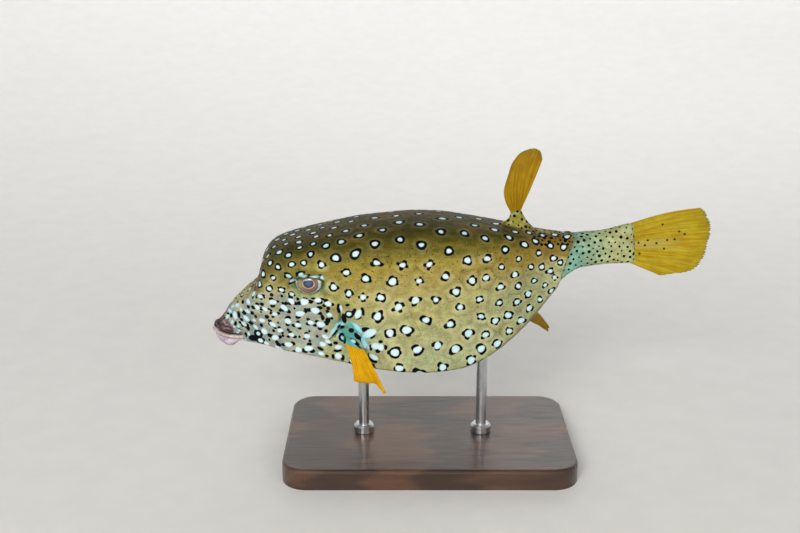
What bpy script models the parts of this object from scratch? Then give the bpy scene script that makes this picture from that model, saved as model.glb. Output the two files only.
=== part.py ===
"""A life-size museum model of a yellow boxfish on a plain display stand.

The fish is drawn in its own frame, in millimetres: x runs back from the tip of the upper lip, y points to
its right side and z is up. One empty then pitches it nose-down and lifts it over the stand, in metres.
World +X is towards the tail, +Z is up, and the origin is under the middle of the model's box.
"""

import math

import bmesh
import bpy
from mathutils import Matrix, Vector

MM = 0.001
GAP = 0.3              # between pieces that touch in life

# The pose: head down by this much, with the belly's lowest point this far over the floor
PITCH_DEG = 6.0
MODEL_LENGTH = 236.4   # from the lip to the tail's edge once the fish is pitched
BELLY_LOWEST = -15.8   # the belly's lowest point once the fish is pitched, against the lip
BELLY_HEIGHT = 51.0

# Side view: heights of the body's lines at places along it, (x, z)
BACK_LINE = (
    (0, 0.4), (1, 1.9), (3.5, 3.8), (6.6, 6.6), (9.6, 9.8), (18.6, 17.2), (24.4, 21.2), (27.4, 28.0),
    (30, 34.2), (34.4, 38.3), (42, 40.4), (60, 42.8), (80, 44.7), (95, 44.7), (112, 43.1), (128, 39.4), (145, 34.9),
    (160, 30.6), (176, 27.7), (187, 27.4), (200, 29.4),
)
BELLY_LINE = (
    (0, -0.6), (1, -2.6), (3, -6.2), (6, -10.2), (9, -11.6), (12, -11.2), (16, -9.4), (23, -10.0),
    (33, -12.6), (46, -14.8), (60, -17.8), (76, -22.0), (92, -25.4), (106, -26.7), (116, -26.7),
    (126, -25.0), (136, -21.2), (147, -14.6), (157, -6.2), (164, 1.3), (171, 7.7), (178, 10.8),
    (188, 11.2), (200, 10.2),
)
UPPER_RIDGE = (
    (0, 0.1), (3.5, 1.2), (10, 4.5), (19, 11.0), (24, 14.5), (29, 23.5), (34, 29.4), (42, 32.0), (55, 33.2),
    (80, 32.4), (110, 31.2), (128, 29.4), (145, 27.3), (160, 24.5), (176, 22.5), (188, 21.8), (200, 22.5),
)
LOWER_RIDGE = (
    (0, -0.3), (3, -3.4), (9, -6.8), (16, -5.0), (23, -6.2), (33, -8.6), (46, -10.6), (60, -13.6),
    (76, -17.6), (92, -20.8), (110, -22.2), (120, -21.6), (128, -19.4), (136, -16.0), (147, -9.2),
    (157, -0.8), (164, 6.0), (171, 11.6), (178, 15.0), (188, 16.2), (200, 16.2),
)

# Top view: half-widths at the two ridges, (x, y)
UPPER_WIDTH = (
    (0, 0.8), (1, 2.8), (3.5, 4.6), (8, 6.0), (12, 7.2), (19, 10.8), (26, 15.5), (32, 19.0), (40, 21.8),
    (50, 24.0), (70, 26.4), (92, 27.2), (112, 26.2), (128, 23.0), (143, 18.0), (157, 12.8), (168, 9.6),
    (178, 7.2), (188, 5.4), (200, 3.4),
)
LOWER_WIDTH = (
    (0, 0.8), (1, 2.8), (3.5, 4.6), (8, 6.0), (12, 7.0), (19, 10.6), (30, 15.8), (45, 22.0), (60, 26.6),
    (80, 30.2), (100, 31.0), (116, 29.4), (130, 25.0), (143, 19.2), (155, 13.6), (166, 9.6), (178, 6.8),
    (188, 5.2), (200, 3.2),
)
BACK_ROUNDNESS = 2.25   # superellipse exponents: 2 is an ellipse, more is squarer
BELLY_ROUNDNESS = 2.2
FLANK_DISH = 1.2        # how far the sides sink between the ridges
DISH_FROM, DISH_TO = 45.0, 150.0

# Where the body is cut into its named parts: a point (x, z) on each cut and its normal (x, z)
LIP_CUT = ((11.6, 0.0), (0.90, 0.436))
MOUTH_CUT = ((0.0, -0.9), (0.28, 0.96))
GILL_CUT = ((60.0, 4.0), (0.92, -0.40))
RIM_CUT = ((169.6, 14.6), (0.931, -0.361))
BODY_END = 200.0
RIM_STEP = 0.8          # how far the tail's skin lies inside the shell's rim
RIM_STEP_FULL, RIM_STEP_GONE = 166.0, 184.0   # the step fades between these x

# How finely the loft is divided
STATION_STEPS = ((0, 12, 1.5), (12, 22, 2.5), (22, 36, 1.5), (36, 60, 4.0), (60, 124, 8.0), (124, 172, 5.0),
                 (172, 200, 4.0))
BACK_SIDES, FLANK_SIDES, BELLY_SIDES = 6, 5, 5   # faces of each stretch in half a section

# Eyes
EYE_AT = (51.5, 21.4, 23.7)        # x, y, z of the right eye's middle; the left one is mirrored
EYE_RADII = (6.8, 4.3, 6.2)        # along the head, outwards, up
EYE_TURN_DEG = 13.0                # towards the snout
EYE_TILT_DEG = 4.0                 # upwards

# Fleshy fin roots: a foot inside the body, the top where the fin starts, the direction of the fin's root,
# and the radii (along it, across it) at the foot and at the top
DORSAL_ROOT = dict(foot=(150.8, 0, 30.0), top=(149.4, 0, 40.2), along=(1, 0, 0.07), foot_radii=(9.2, 5.2),
                   top_radii=(2.6, 1.5))
ANAL_ROOT = dict(foot=(149.4, 0, -4.0), top=(152.8, 2.6, -11.8), along=(1, 0, 0.45), foot_radii=(7.6, 4.6),
                 top_radii=(3.6, 1.5))
PECTORAL_ROOT = dict(foot=(71.8, 22.8, -0.6), top=(69.1, 31.0, -5.6), along=(0.885, 0, -0.47),
                     foot_radii=(6.4, 6.0), top_radii=(5.2, 1.7))
ROOT_FLARE = 1.7                   # above 1 the root's sides are hollow
SEAT_GAP = 0.5                     # from a root's top to its fin, which leans

# Fins, as fans of rays. "tips" are the ends (x, y, z) of some rays, each with its share across the fan.
# "bow" bends the first ray forward or up and "curl" cups the fin.
DORSAL_FIN = dict(
    rays=9, bow=2.6, curl=1.5, root_thickness=1.5,
    tips=((0, 146.8, 0.8, 58.6), (0.15, 149.1, 0.8, 63.4), (0.35, 152.2, 0.8, 67.2), (0.55, 156.4, 0.7, 69.5),
          (0.72, 159.7, 0.7, 69.9), (0.86, 162.5, 0.6, 68.6), (1, 163.8, 0.6, 65.0)),
)
ANAL_FIN = dict(
    rays=9, bow=0.8, curl=1.5, root_thickness=1.5,
    tips=((0, 160.0, 16.8, -25.2), (0.3, 161.4, 18.2, -27.2), (0.7, 162.8, 19.6, -28.4), (1, 163.4, 20.0, -26.4)),
)
PECTORAL_FIN = dict(
    rays=10, bow=-1.0, curl=1.0, root_thickness=1.6,
    tips=((0, 67.0, 35.0, -19.9), (0.35, 71.8, 36.0, -21.0), (0.7, 77.1, 37.2, -21.8), (0.88, 80.0, 38.0, -24.4),
          (1, 81.6, 38.5, -27.0)),
)
CAUDAL_FIN = dict(
    rays=10, bow=1.2, curl=0.0, root_thickness=2.2,
    tips=((0, 236.4, 0, 34.2), (0.15, 238.4, 0, 29.6), (0.33, 240.2, 0, 23.5), (0.5, 239.0, 0, 17.2),
          (0.65, 236.8, 0, 10.8), (0.8, 233.6, 0, 5.6), (0.9, 228.0, 0, 2.9), (1, 216.0, 0, 1.7)),
)
CAUDAL_SEAT = ((200.4, 0, 28.9), (200.4, 0, 10.7))
RAY_STEPS = 6                      # lengthwise faces of a fin
RAY_THICKNESS, WEB_THICKNESS = 1.0, 0.62

# Stand, in millimetres over the floor, with x from the middle of the model's box
BASE_SIZE = (140.0, 84.0, 10.0)
BASE_MIDDLE_X = -14.0
BASE_CORNER = 12.0
BASE_EDGE = 1.5
ROD_RADIUS = 2.6
ROD_X = (-46.0, 12.0)
ROD_NAMES = ("stand_rod_front", "stand_rod_rear")
FERRULE_RADIUS, FERRULE_HEIGHT = 5.0, 4.0


def clear_scene():
    for obj in list(bpy.data.objects):
        bpy.data.objects.remove(obj)


def material(name, colour, roughness, metallic=0.0):
    mat = bpy.data.materials.new(name)
    mat.use_nodes = True
    shader = mat.node_tree.nodes["Principled BSDF"]
    shader.inputs["Base Color"].default_value = (*colour, 1.0)
    shader.inputs["Roughness"].default_value = roughness
    shader.inputs["Metallic"].default_value = metallic
    return mat


def curve_value(points, x):
    """The smooth curve through points at x. Its slope is monotone between points, so it never overshoots."""
    xs = [p[0] for p in points]
    ys = [p[1] for p in points]
    if x <= xs[0]:
        return ys[0]
    if x >= xs[-1]:
        return ys[-1]
    steps = [b - a for a, b in zip(xs, xs[1:])]
    slopes = [(b - a) / h for a, b, h in zip(ys, ys[1:], steps)]
    tangents = [slopes[0]]
    for k in range(1, len(slopes)):
        before, after = slopes[k - 1], slopes[k]
        if before * after <= 0:
            tangents.append(0.0)
        else:
            w1 = 2 * steps[k] + steps[k - 1]
            w2 = steps[k] + 2 * steps[k - 1]
            tangents.append((w1 + w2) / (w1 / before + w2 / after))
    tangents.append(slopes[-1])
    k = max(i for i, left in enumerate(xs[:-1]) if left <= x)
    h = steps[k]
    t = (x - xs[k]) / h
    return (
        ys[k] * (1 + 2 * t) * (1 - t) ** 2
        + tangents[k] * h * t * (1 - t) ** 2
        + ys[k + 1] * t * t * (3 - 2 * t)
        + tangents[k + 1] * h * t * t * (t - 1)
    )


def smooth(edge0, edge1, x):
    t = min(max((x - edge0) / (edge1 - edge0), 0.0), 1.0)
    return t * t * (3 - 2 * t)


def half_section(x):
    """The right half of the body's section at x, as (y, z) from the back's middle to the belly's middle."""
    back, belly = curve_value(BACK_LINE, x), curve_value(BELLY_LINE, x)
    upper, lower = curve_value(UPPER_RIDGE, x), curve_value(LOWER_RIDGE, x)
    upper_y, lower_y = curve_value(UPPER_WIDTH, x), curve_value(LOWER_WIDTH, x)
    middle = (DISH_FROM + DISH_TO) / 2
    dish = FLANK_DISH * smooth(DISH_FROM, middle, x) * (1 - smooth(middle, DISH_TO, x))
    points = []
    for k in range(BACK_SIDES):
        a = math.pi / 2 * (1 - k / BACK_SIDES)
        points.append((
            upper_y * math.cos(a) ** (2 / BACK_ROUNDNESS),
            upper + (back - upper) * math.sin(a) ** (2 / BACK_ROUNDNESS),
        ))
    for k in range(FLANK_SIDES):
        t = k / FLANK_SIDES
        y = upper_y + (lower_y - upper_y) * smooth(0, 1, t) - dish * math.sin(math.pi * t) ** 2
        points.append((y, upper + (lower - upper) * t))
    for k in range(BELLY_SIDES + 1):
        a = math.pi / 2 * k / BELLY_SIDES
        points.append((
            lower_y * max(math.cos(a), 0.0) ** (2 / BELLY_ROUNDNESS),
            lower + (belly - lower) * math.sin(a) ** (2 / BELLY_ROUNDNESS),
        ))
    points[0] = (0.0, back)
    points[-1] = (0.0, belly)
    return points


def ring(x, grow=0.0):
    """The whole section at x as points, moved out by grow along its own normal."""
    right = half_section(x)
    loop = right + [(-y, z) for y, z in reversed(right[1:-1])]
    moved = []
    for i, (y, z) in enumerate(loop):
        before, after = loop[i - 1], loop[(i + 1) % len(loop)]
        along = Vector((after[0] - before[0], after[1] - before[1])).normalized()
        moved.append(Vector((x, y - along.y * grow, z + along.x * grow)))
    return moved


def stations():
    places = []
    for start, end, step in STATION_STEPS:
        count = round((end - start) / step)
        places += [start + (end - start) * k / count for k in range(count)]
    return places + [BODY_END]


def add_object(name, bm, parent, mat):
    """A mesh object from a bmesh that is drawn in millimetres."""
    bmesh.ops.recalc_face_normals(bm, faces=bm.faces)
    mesh = bpy.data.meshes.new(name)
    bmesh.ops.scale(bm, vec=(MM, MM, MM), verts=bm.verts)
    bm.to_mesh(mesh)
    bm.free()
    mesh.shade_smooth()
    mesh.set_sharp_from_angle(angle=math.radians(40))
    obj = bpy.data.objects.new(name, mesh)
    obj.parent = parent
    obj.data.materials.append(mat)
    bpy.context.scene.collection.objects.link(obj)
    return obj


def loft(bm, rings):
    """Skins rings of equal length, one after another, and closes both ends."""
    loops = [[bm.verts.new(p) for p in points] for points in rings]
    for one, two in zip(loops, loops[1:]):
        for i, vert in enumerate(one):
            j = (i + 1) % len(one)
            bm.faces.new((vert, one[j], two[j], two[i]))
    bm.faces.new(loops[0])
    bm.faces.new(loops[-1])


def body_bmesh(grow=lambda x: 0.0):
    """The body from the lips to the root of the tail fin, its skin moved out by grow(x)."""
    bm = bmesh.new()
    loft(bm, [ring(x, grow(x)) for x in stations()])
    return bm


def keep_side(bm, cut, side):
    """Keeps what lies past the cut, in front of it (-1) or behind it (+1), less half a gap, and caps it."""
    (x, z), (nx, nz) = cut
    normal = Vector((nx, 0, nz)).normalized()
    point = Vector((x, 0, z)) + normal * side * GAP / 2
    geometry = bm.verts[:] + bm.edges[:] + bm.faces[:]
    made = bmesh.ops.bisect_plane(
        bm, geom=geometry, dist=1e-5, plane_co=point, plane_no=normal * -side, clear_outer=True,
    )
    rim = [e for e in made["geom_cut"] if isinstance(e, bmesh.types.BMEdge)]
    bmesh.ops.contextual_create(bm, geom=rim)


def subtract(obj, cutter):
    modifier = obj.modifiers.new("cut_" + cutter.name, "BOOLEAN")
    modifier.operation = "DIFFERENCE"
    modifier.object = cutter


def hide_cutter(obj):
    obj.hide_render = True
    obj.display_type = "WIRE"


def make_body(fish, skin, lip_skin):
    """Head, trunk, tail stem and lips: the whole body, parted by thin slanting cuts."""
    head = body_bmesh()
    keep_side(head, GILL_CUT, -1)
    keep_side(head, LIP_CUT, 1)
    trunk = body_bmesh()
    keep_side(trunk, GILL_CUT, 1)
    keep_side(trunk, RIM_CUT, -1)
    stem = body_bmesh(lambda x: -RIM_STEP * (1 - smooth(RIM_STEP_FULL, RIM_STEP_GONE, x)))
    keep_side(stem, RIM_CUT, 1)
    parts = {
        "head": add_object("head", head, fish, skin),
        "trunk": add_object("trunk", trunk, fish, skin),
        "caudal_peduncle": add_object("caudal_peduncle", stem, fish, skin),
    }
    for name, side in (("upper_lip", 1), ("lower_lip", -1)):
        lip = body_bmesh()
        keep_side(lip, LIP_CUT, -1)
        keep_side(lip, MOUTH_CUT, side)
        parts[name] = add_object(name, lip, fish, lip_skin)
    return parts


def ball(radii, segments=20, rings=12):
    bm = bmesh.new()
    bmesh.ops.create_uvsphere(bm, u_segments=segments, v_segments=rings, radius=1.0)
    bmesh.ops.scale(bm, vec=radii, verts=bm.verts)
    return bm


def make_eyes(fish, head, mat):
    x, y, z = EYE_AT
    for side, word in ((-1, "left"), (1, "right")):
        turn = Matrix.Rotation(math.radians(EYE_TURN_DEG * side), 4, "Z")
        tilt = Matrix.Rotation(math.radians(EYE_TILT_DEG * side), 4, "X")
        place = Matrix.Translation(Vector((x, side * y, z)) * MM) @ turn @ tilt
        eye = add_object(f"eye_{word}", ball(EYE_RADII), fish, mat)
        eye.matrix_local = place
        socket = add_object(f"socket_{word}", ball([r + GAP for r in EYE_RADII]), fish, mat)
        socket.matrix_local = place
        hide_cutter(socket)
        subtract(head, socket)


def mirrored(shape, side):
    """A fin's or root's sizes for the right side (1) or, with every y and the curl turned over, the left (-1)."""
    turned = dict(shape)
    for key in ("foot", "top", "along"):
        if key in shape:
            x, y, z = shape[key]
            turned[key] = (x, y * side, z)
    if "tips" in shape:
        turned["tips"] = [(t, x, y * side, z) for t, x, y, z in shape["tips"]]
        turned["curl"] = shape["curl"] * side
    return turned


def root_axes(shape):
    """A root's directions: out to the fin, along the fin's root, and across it."""
    axis = (Vector(shape["top"]) - Vector(shape["foot"])).normalized()
    along = Vector(shape["along"])
    along = (along - axis * axis.dot(along)).normalized()
    return axis, along, axis.cross(along)


def fin_seat(shape):
    """The two ends of the fin's own root, a gap above the fleshy root's top."""
    axis, along, _ = root_axes(shape)
    middle = Vector(shape["top"]) + axis * SEAT_GAP
    reach = along * (shape["top_radii"][0] - 0.4)
    return middle - reach, middle + reach


def make_fin_root(name, fish, shape, body, mat):
    """A fleshy root: ellipses stacked from inside the body out to the fin, with the body cut away."""
    foot, top = Vector(shape["foot"]), Vector(shape["top"])
    _, along, across = root_axes(shape)
    rings = []
    steps, sides = 6, 16
    for k in range(steps + 1):
        t = k / steps
        share = (1 - t) ** ROOT_FLARE
        long, short = (b + (a - b) * share for a, b in zip(shape["foot_radii"], shape["top_radii"]))
        middle = foot.lerp(top, t)
        rings.append([
            middle + along * (long * math.cos(a)) + across * (short * math.sin(a))
            for a in (2 * math.pi * i / sides for i in range(sides))
        ])
    bm = bmesh.new()
    loft(bm, rings)
    root = add_object(name, bm, fish, mat)
    subtract(root, body)


def fan_tip(fin, t):
    x, y, z = (curve_value([(tip[0], tip[i]) for tip in fin["tips"]], t) for i in (1, 2, 3))
    return Vector((x, y, z))


def fan_normal(fin, seat):
    chord = seat[1] - seat[0]
    ray = (fan_tip(fin, 0) + fan_tip(fin, 1)) / 2 - (seat[0] + seat[1]) / 2
    return chord.cross(ray).normalized()


def fan_point(fin, seat, t, u):
    """The point a share u along the ray at a share t across the fan."""
    root = seat[0].lerp(seat[1], t)
    chord = (seat[1] - seat[0]).normalized()
    bow = -chord * fin["bow"] * (1 - t) * math.sin(math.pi * u)
    side = fan_normal(fin, seat) * fin["curl"] * math.sin(math.pi * u) * (0.4 + 0.6 * t)
    return root.lerp(fan_tip(fin, t), u) + bow + side


def make_fin(name, fish, fin, seat, mat):
    """A closed fan: thick at the rays and the root, thin in the web and at the rim."""
    seat = [Vector(p) for p in seat]
    columns = 2 * (fin["rays"] - 1)
    normal = fan_normal(fin, seat)
    bm = bmesh.new()
    sides = {}
    for side in (-1, 1):
        for c in range(columns + 1):
            for r in range(RAY_STEPS + 1):
                t, u = c / columns, r / RAY_STEPS
                tip = RAY_THICKNESS if c % 2 == 0 else WEB_THICKNESS
                tip = tip + (WEB_THICKNESS - tip) * u
                thick = tip + (fin["root_thickness"] - tip) * (1 - u) ** 3
                point = fan_point(fin, seat, t, u) + normal * side * thick / 2
                sides[side, c, r] = bm.verts.new(point)
    for side in (-1, 1):
        for c in range(columns):
            for r in range(RAY_STEPS):
                corners = ((c, r), (c + 1, r), (c + 1, r + 1), (c, r + 1))
                bm.faces.new([sides[side, i, j] for i, j in corners])
    rim = (
        [(c, 0) for c in range(columns + 1)]
        + [(columns, r) for r in range(1, RAY_STEPS + 1)]
        + [(c, RAY_STEPS) for c in range(columns - 1, -1, -1)]
        + [(0, r) for r in range(RAY_STEPS - 1, 0, -1)]
    )
    for one, two in zip(rim, rim[1:] + rim[:1]):
        bm.faces.new((sides[-1, *one], sides[-1, *two], sides[1, *two], sides[1, *one]))
    add_object(name, bm, fish, mat)


def make_fins(fish, body, skin, fin_skin):
    make_fin("caudal_fin", fish, CAUDAL_FIN, CAUDAL_SEAT, fin_skin)
    pairs = [("dorsal_fin", DORSAL_ROOT, DORSAL_FIN), ("anal_fin", ANAL_ROOT, ANAL_FIN)]
    for side, word in ((-1, "left"), (1, "right")):
        pairs.append(("pectoral_fin_" + word, mirrored(PECTORAL_ROOT, side), mirrored(PECTORAL_FIN, side)))
    for name, root, fin in pairs:
        make_fin_root(name.replace("fin", "fin_base"), fish, root, body, skin)
        make_fin(name, fish, fin, fin_seat(root), fin_skin)


def make_stand(body, wood, steel):
    length, width, height = BASE_SIZE
    bm = bmesh.new()
    bmesh.ops.create_cube(bm, size=1.0)
    bmesh.ops.scale(bm, vec=BASE_SIZE, verts=bm.verts)
    bmesh.ops.translate(bm, vec=(BASE_MIDDLE_X, 0, height / 2), verts=bm.verts)
    posts = [e for e in bm.edges if abs(e.verts[0].co.z - e.verts[1].co.z) > 1]
    bmesh.ops.bevel(bm, geom=posts, offset=BASE_CORNER, segments=8, affect="EDGES", profile=0.5)
    lid = [e for e in bm.edges if all(v.co.z > height - 0.01 for v in e.verts)]
    bmesh.ops.bevel(bm, geom=lid, offset=BASE_EDGE, segments=3, affect="EDGES", profile=0.5)
    add_object("stand_base", bm, None, wood)
    for name, x in zip(ROD_NAMES, ROD_X):
        rod = add_object(name, rod_bmesh(x, height + GAP), None, steel)
        subtract(rod, body)


def rod_bmesh(x, bottom):
    """A round rod with a wider ferrule at its foot, long enough to end inside the belly."""
    profile = (
        (FERRULE_RADIUS, bottom), (FERRULE_RADIUS, bottom + FERRULE_HEIGHT - 1),
        (FERRULE_RADIUS - 1, bottom + FERRULE_HEIGHT), (ROD_RADIUS, bottom + FERRULE_HEIGHT),
        (ROD_RADIUS, BELLY_HEIGHT + 25),
    )
    sides = 24
    bm = bmesh.new()
    loft(bm, [
        [Vector((x + r * math.cos(a), r * math.sin(a), z))
         for a in (2 * math.pi * i / sides for i in range(sides))]
        for r, z in profile
    ])
    return bm


def main():
    clear_scene()
    skin = material("boxfish_skin", (0.42, 0.30, 0.06), 0.45)
    lip_skin = material("lip_skin", (0.62, 0.45, 0.45), 0.4)
    fin_skin = material("fin_skin", (0.75, 0.42, 0.01), 0.4)
    eye_mat = material("eye", (0.25, 0.12, 0.05), 0.1)
    wood = material("stand_wood", (0.07, 0.035, 0.018), 0.4)
    steel = material("stand_steel", (0.6, 0.6, 0.62), 0.3, 1.0)

    fish = bpy.data.objects.new("fish_pose", None)
    bpy.context.scene.collection.objects.link(fish)
    fish.location = (-MODEL_LENGTH / 2 * MM, 0, (BELLY_HEIGHT - BELLY_LOWEST) * MM)
    fish.rotation_euler = (0, -math.radians(PITCH_DEG), 0)

    clearance = add_object("body_clearance", body_bmesh(lambda x: GAP), fish, skin)
    hide_cutter(clearance)
    parts = make_body(fish, skin, lip_skin)
    make_eyes(fish, parts["head"], eye_mat)
    make_fins(fish, clearance, skin, fin_skin)
    make_stand(clearance, wood, steel)


main()
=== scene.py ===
"""The looks of the boxfish model: a marked skin, the eyes, the rayed fins and the stand's finish.

Shapes are worked out in the fish's own frame, in millimetres: x runs back from the tip of the upper lip,
y points to its right side and z is up. to_world() pitches them and lifts them over the stand.
"""
import math

import bpy
import numpy as np
from mathutils import Matrix, Vector


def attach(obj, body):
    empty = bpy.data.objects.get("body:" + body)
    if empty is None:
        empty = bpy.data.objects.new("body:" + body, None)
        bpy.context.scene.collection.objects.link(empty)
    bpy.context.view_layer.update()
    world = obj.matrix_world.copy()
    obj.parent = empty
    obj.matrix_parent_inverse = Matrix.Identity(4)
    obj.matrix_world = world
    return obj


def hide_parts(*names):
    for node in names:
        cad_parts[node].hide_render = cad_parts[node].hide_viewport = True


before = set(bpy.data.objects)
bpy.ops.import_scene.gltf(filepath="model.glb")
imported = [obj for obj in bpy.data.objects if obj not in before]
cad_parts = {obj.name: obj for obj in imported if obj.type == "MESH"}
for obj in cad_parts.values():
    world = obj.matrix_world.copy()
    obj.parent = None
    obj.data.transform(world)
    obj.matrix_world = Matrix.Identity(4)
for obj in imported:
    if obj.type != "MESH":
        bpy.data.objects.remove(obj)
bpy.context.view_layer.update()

MM = 0.001

# The pose, as in the CAD model
PITCH = math.radians(6.0)
MODEL_LENGTH = 236.4
BELLY_LOWEST = -15.8
BELLY_HEIGHT = 51.0

# Side view: heights of the body's lines at places along it, (x, z)
BACK_LINE = (
    (0, 0.4), (1, 1.9), (3.5, 3.8), (6.6, 6.6), (9.6, 9.8), (18.6, 17.2), (24.4, 21.2), (27.4, 28.0),
    (30, 34.2), (34.4, 38.3), (42, 40.4), (60, 42.8), (80, 44.7), (95, 44.7), (112, 43.1), (128, 39.4),
    (145, 34.9), (160, 30.6), (176, 27.7), (187, 27.4), (200, 29.4),
)
BELLY_LINE = (
    (0, -0.6), (1, -3.2), (2.6, -7.0), (4.2, -9.8), (6, -11.1), (8, -11.0), (10, -10.3), (12, -9.7),
    (16, -9.4), (23, -10.0), (33, -12.6), (46, -14.8), (60, -17.8), (76, -22.0), (92, -25.4),
    (106, -26.7), (116, -26.7), (126, -25.0), (136, -21.2), (147, -14.6), (157, -6.2), (164, 1.3),
    (171, 7.7), (178, 10.8), (188, 11.2), (200, 10.2),
)
UPPER_RIDGE = (
    (0, 0.1), (3.5, 1.2), (10, 4.5), (19, 11.0), (24, 14.5), (29, 23.5), (34, 29.4), (42, 32.0),
    (55, 33.2), (80, 32.4), (110, 31.2), (128, 29.4), (145, 27.3), (160, 24.5), (176, 22.5),
    (188, 21.8), (200, 22.5),
)
LOWER_RIDGE = (
    (0, -0.3), (3, -3.4), (9, -6.8), (16, -5.0), (23, -6.2), (33, -8.6), (46, -10.6), (60, -13.6),
    (76, -17.6), (92, -20.8), (110, -22.2), (120, -21.6), (128, -19.4), (136, -16.0), (147, -9.2),
    (157, -0.8), (164, 6.0), (171, 11.6), (178, 15.0), (188, 16.2), (200, 16.2),
)

# Top view: half-widths at the two ridges, (x, y)
UPPER_WIDTH = (
    (0, 0.8), (1, 2.8), (3.5, 4.6), (8, 6.0), (12, 7.2), (19, 10.8), (26, 15.5), (32, 19.0), (40, 21.8),
    (50, 24.0), (70, 26.4), (92, 27.2), (112, 26.2), (128, 23.0), (143, 18.0), (157, 12.8), (168, 9.6),
    (178, 7.2), (188, 5.4), (200, 3.4),
)
LOWER_WIDTH = (
    (0, 0.8), (1, 2.8), (3.5, 4.6), (8, 6.0), (12, 7.0), (19, 10.6), (30, 15.8), (45, 22.0), (60, 26.6),
    (80, 30.2), (100, 31.0), (116, 29.4), (130, 25.0), (143, 19.2), (155, 13.6), (166, 9.6), (178, 6.8),
    (188, 5.2), (200, 3.2),
)
BACK_ROUNDNESS = 2.25
BELLY_ROUNDNESS = 2.2
FLANK_DISH = 1.2
DISH_FROM, DISH_TO = 45.0, 150.0
BODY_END = 200.0
TAIL_SLEEVE = 3.8        # how far the skin runs out over the tail fin's rays

# The mouth's line (x, z), its corner's x, and the lips' rear edge (z, x), on the side of the snout
MOUTH_LINE = ((-2, 0.6), (0, -0.4), (1.1, -1.2), (3.3, -2.3), (7, -3.6), (12, -4.3), (15, -4.2), (19, -3.6))
MOUTH_CORNER = 14.4
ACROSS_MOUTH, ACROSS_LIPS = 0.95, 0.85      # turn a distance up or back into one across the sloping line
LIP_DROOP, MOUTH_DEPTH = 1.2, 1.9
LIP_EDGE = (
    (-14, 7.0), (-11, 10.2), (-9.6, 11.9), (-7.2, 14.2), (-4.2, 14.8), (-2.4, 12.2), (-0.6, 10.6),
    (1.4, 9.8), (3.4, 8.8), (4.6, 7.4), (5.6, 5.0), (7.5, 1.0), (12, -3.0),
)

# Cuts between the body's parts: a point (x, z) and the normal (x, z)
GILL_CUT = ((60.0, 4.0), (0.92, -0.40))
RIM_CUT = ((169.6, 14.6), (0.931, -0.361))
RIM_STEP = 0.8
RIM_STEP_FULL, RIM_STEP_GONE = 166.0, 184.0

# Eyes
EYE_AT = (51.5, 21.4, 23.7)
EYE_RADII = (6.8, 4.3, 6.2)
EYE_TURN, EYE_TILT = math.radians(13.0), math.radians(4.0)
PUPIL_AHEAD = 0.7
LID_THICKNESS, LID_BLEND, SOCKET_DEPTH = 0.22, 0.5, 0.9
LID_WIDTH, LID_BOTTOM, LID_TOP = 6.6, 5.2, 2.65     # half-width and reaches of the opening between the lids

# Fleshy fin roots and fins, as in the CAD model. A fin's tips are (share across the fan, x, y, z). bow bends
# it back and curl bends it aside, fray notches its edge and corner takes off its corners.
DORSAL_ROOT = dict(foot=(150.8, 0, 30.0), top=(149.4, 0, 40.2), along=(1, 0, 0.07), foot_radii=(9.2, 5.2),
                   top_radii=(2.6, 1.5))
ANAL_ROOT = dict(foot=(149.4, 0, -4.0), top=(152.8, 2.6, -11.8), along=(1, 0, 0.45), foot_radii=(7.6, 4.6),
                 top_radii=(3.6, 1.5))
PECTORAL_ROOT = dict(foot=(71.8, 22.8, -0.6), top=(69.1, 31.0, -5.6), along=(0.885, 0, -0.47),
                     foot_radii=(6.4, 6.0), top_radii=(5.2, 1.7))
PECTORAL_SPREAD, MIDDLE_SPREAD = 1.12, 1.1      # how much wider than the CAD's foot the skin is drawn out
ROOT_COVER, ROOT_DEPTH = 1.5, 14
SEAT_GAP, SEAT_INSET = 0.5, 0.4
CROWN_SHARE, CROWN_DOME = 0.34, 0.45            # the share of the foot that becomes the crown, and its dome
FOOT_FLARE, FOOT_RISE = 1.7, 0.62               # powers of the curve from crown to foot, outward and down
DORSAL_FIN = dict(
    rays=9, rows=150, bow=2.6, curl=1.5, root_thickness=1.5, fray=0.006, corner=0.03,
    tips=((0, 146.8, 0.8, 58.6), (0.15, 149.1, 0.8, 63.4), (0.35, 152.2, 0.8, 67.2), (0.55, 156.4, 0.7, 69.5),
          (0.72, 159.7, 0.7, 69.9), (0.86, 162.5, 0.6, 68.6), (1, 163.8, 0.6, 65.0)),
)
ANAL_FIN = dict(
    rays=9, rows=150, bow=0.8, curl=1.5, root_thickness=1.5, fray=0.02, corner=0.03,
    tips=((0, 160.0, 16.8, -25.2), (0.3, 161.4, 18.2, -27.2), (0.7, 162.8, 19.6, -28.4),
          (1, 163.4, 20.0, -26.4)),
)
PECTORAL_FIN = dict(
    rays=10, rows=150, bow=-1.0, curl=1.0, root_thickness=1.6, fray=0.012, corner=0.015,
    tips=((0, 67.2, 35.0, -22.2), (0.35, 72.0, 36.0, -22.8), (0.66, 76.4, 37.0, -23.1),
          (0.84, 79.2, 37.8, -26.3), (0.92, 80.4, 38.2, -28.0), (1, 81.6, 38.5, -27.9)),
)
CAUDAL_FIN = dict(
    rays=10, rows=190, bow=1.2, curl=0.0, root_thickness=2.2, fray=0.02, corner=0.03,
    tips=((0, 236.4, 0, 34.2), (0.15, 238.4, 0, 29.6), (0.33, 240.2, 0, 23.5), (0.5, 239.0, 0, 17.2),
          (0.65, 236.8, 0, 10.8), (0.8, 233.6, 0, 5.6), (0.9, 228.0, 0, 2.9), (1, 216.0, 0, 1.7)),
)
COLUMNS_PER_RAY = 26
RAY_WIDTH, FORK_SPREAD, TWIG_SPREAD = 0.24, 0.24, 0.11      # as shares of the distance between rays
WEB_THICKNESS, RAY_THICKNESS = 0.34, 0.56
TAIL_DOT_SIZE = 0.60
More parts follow.
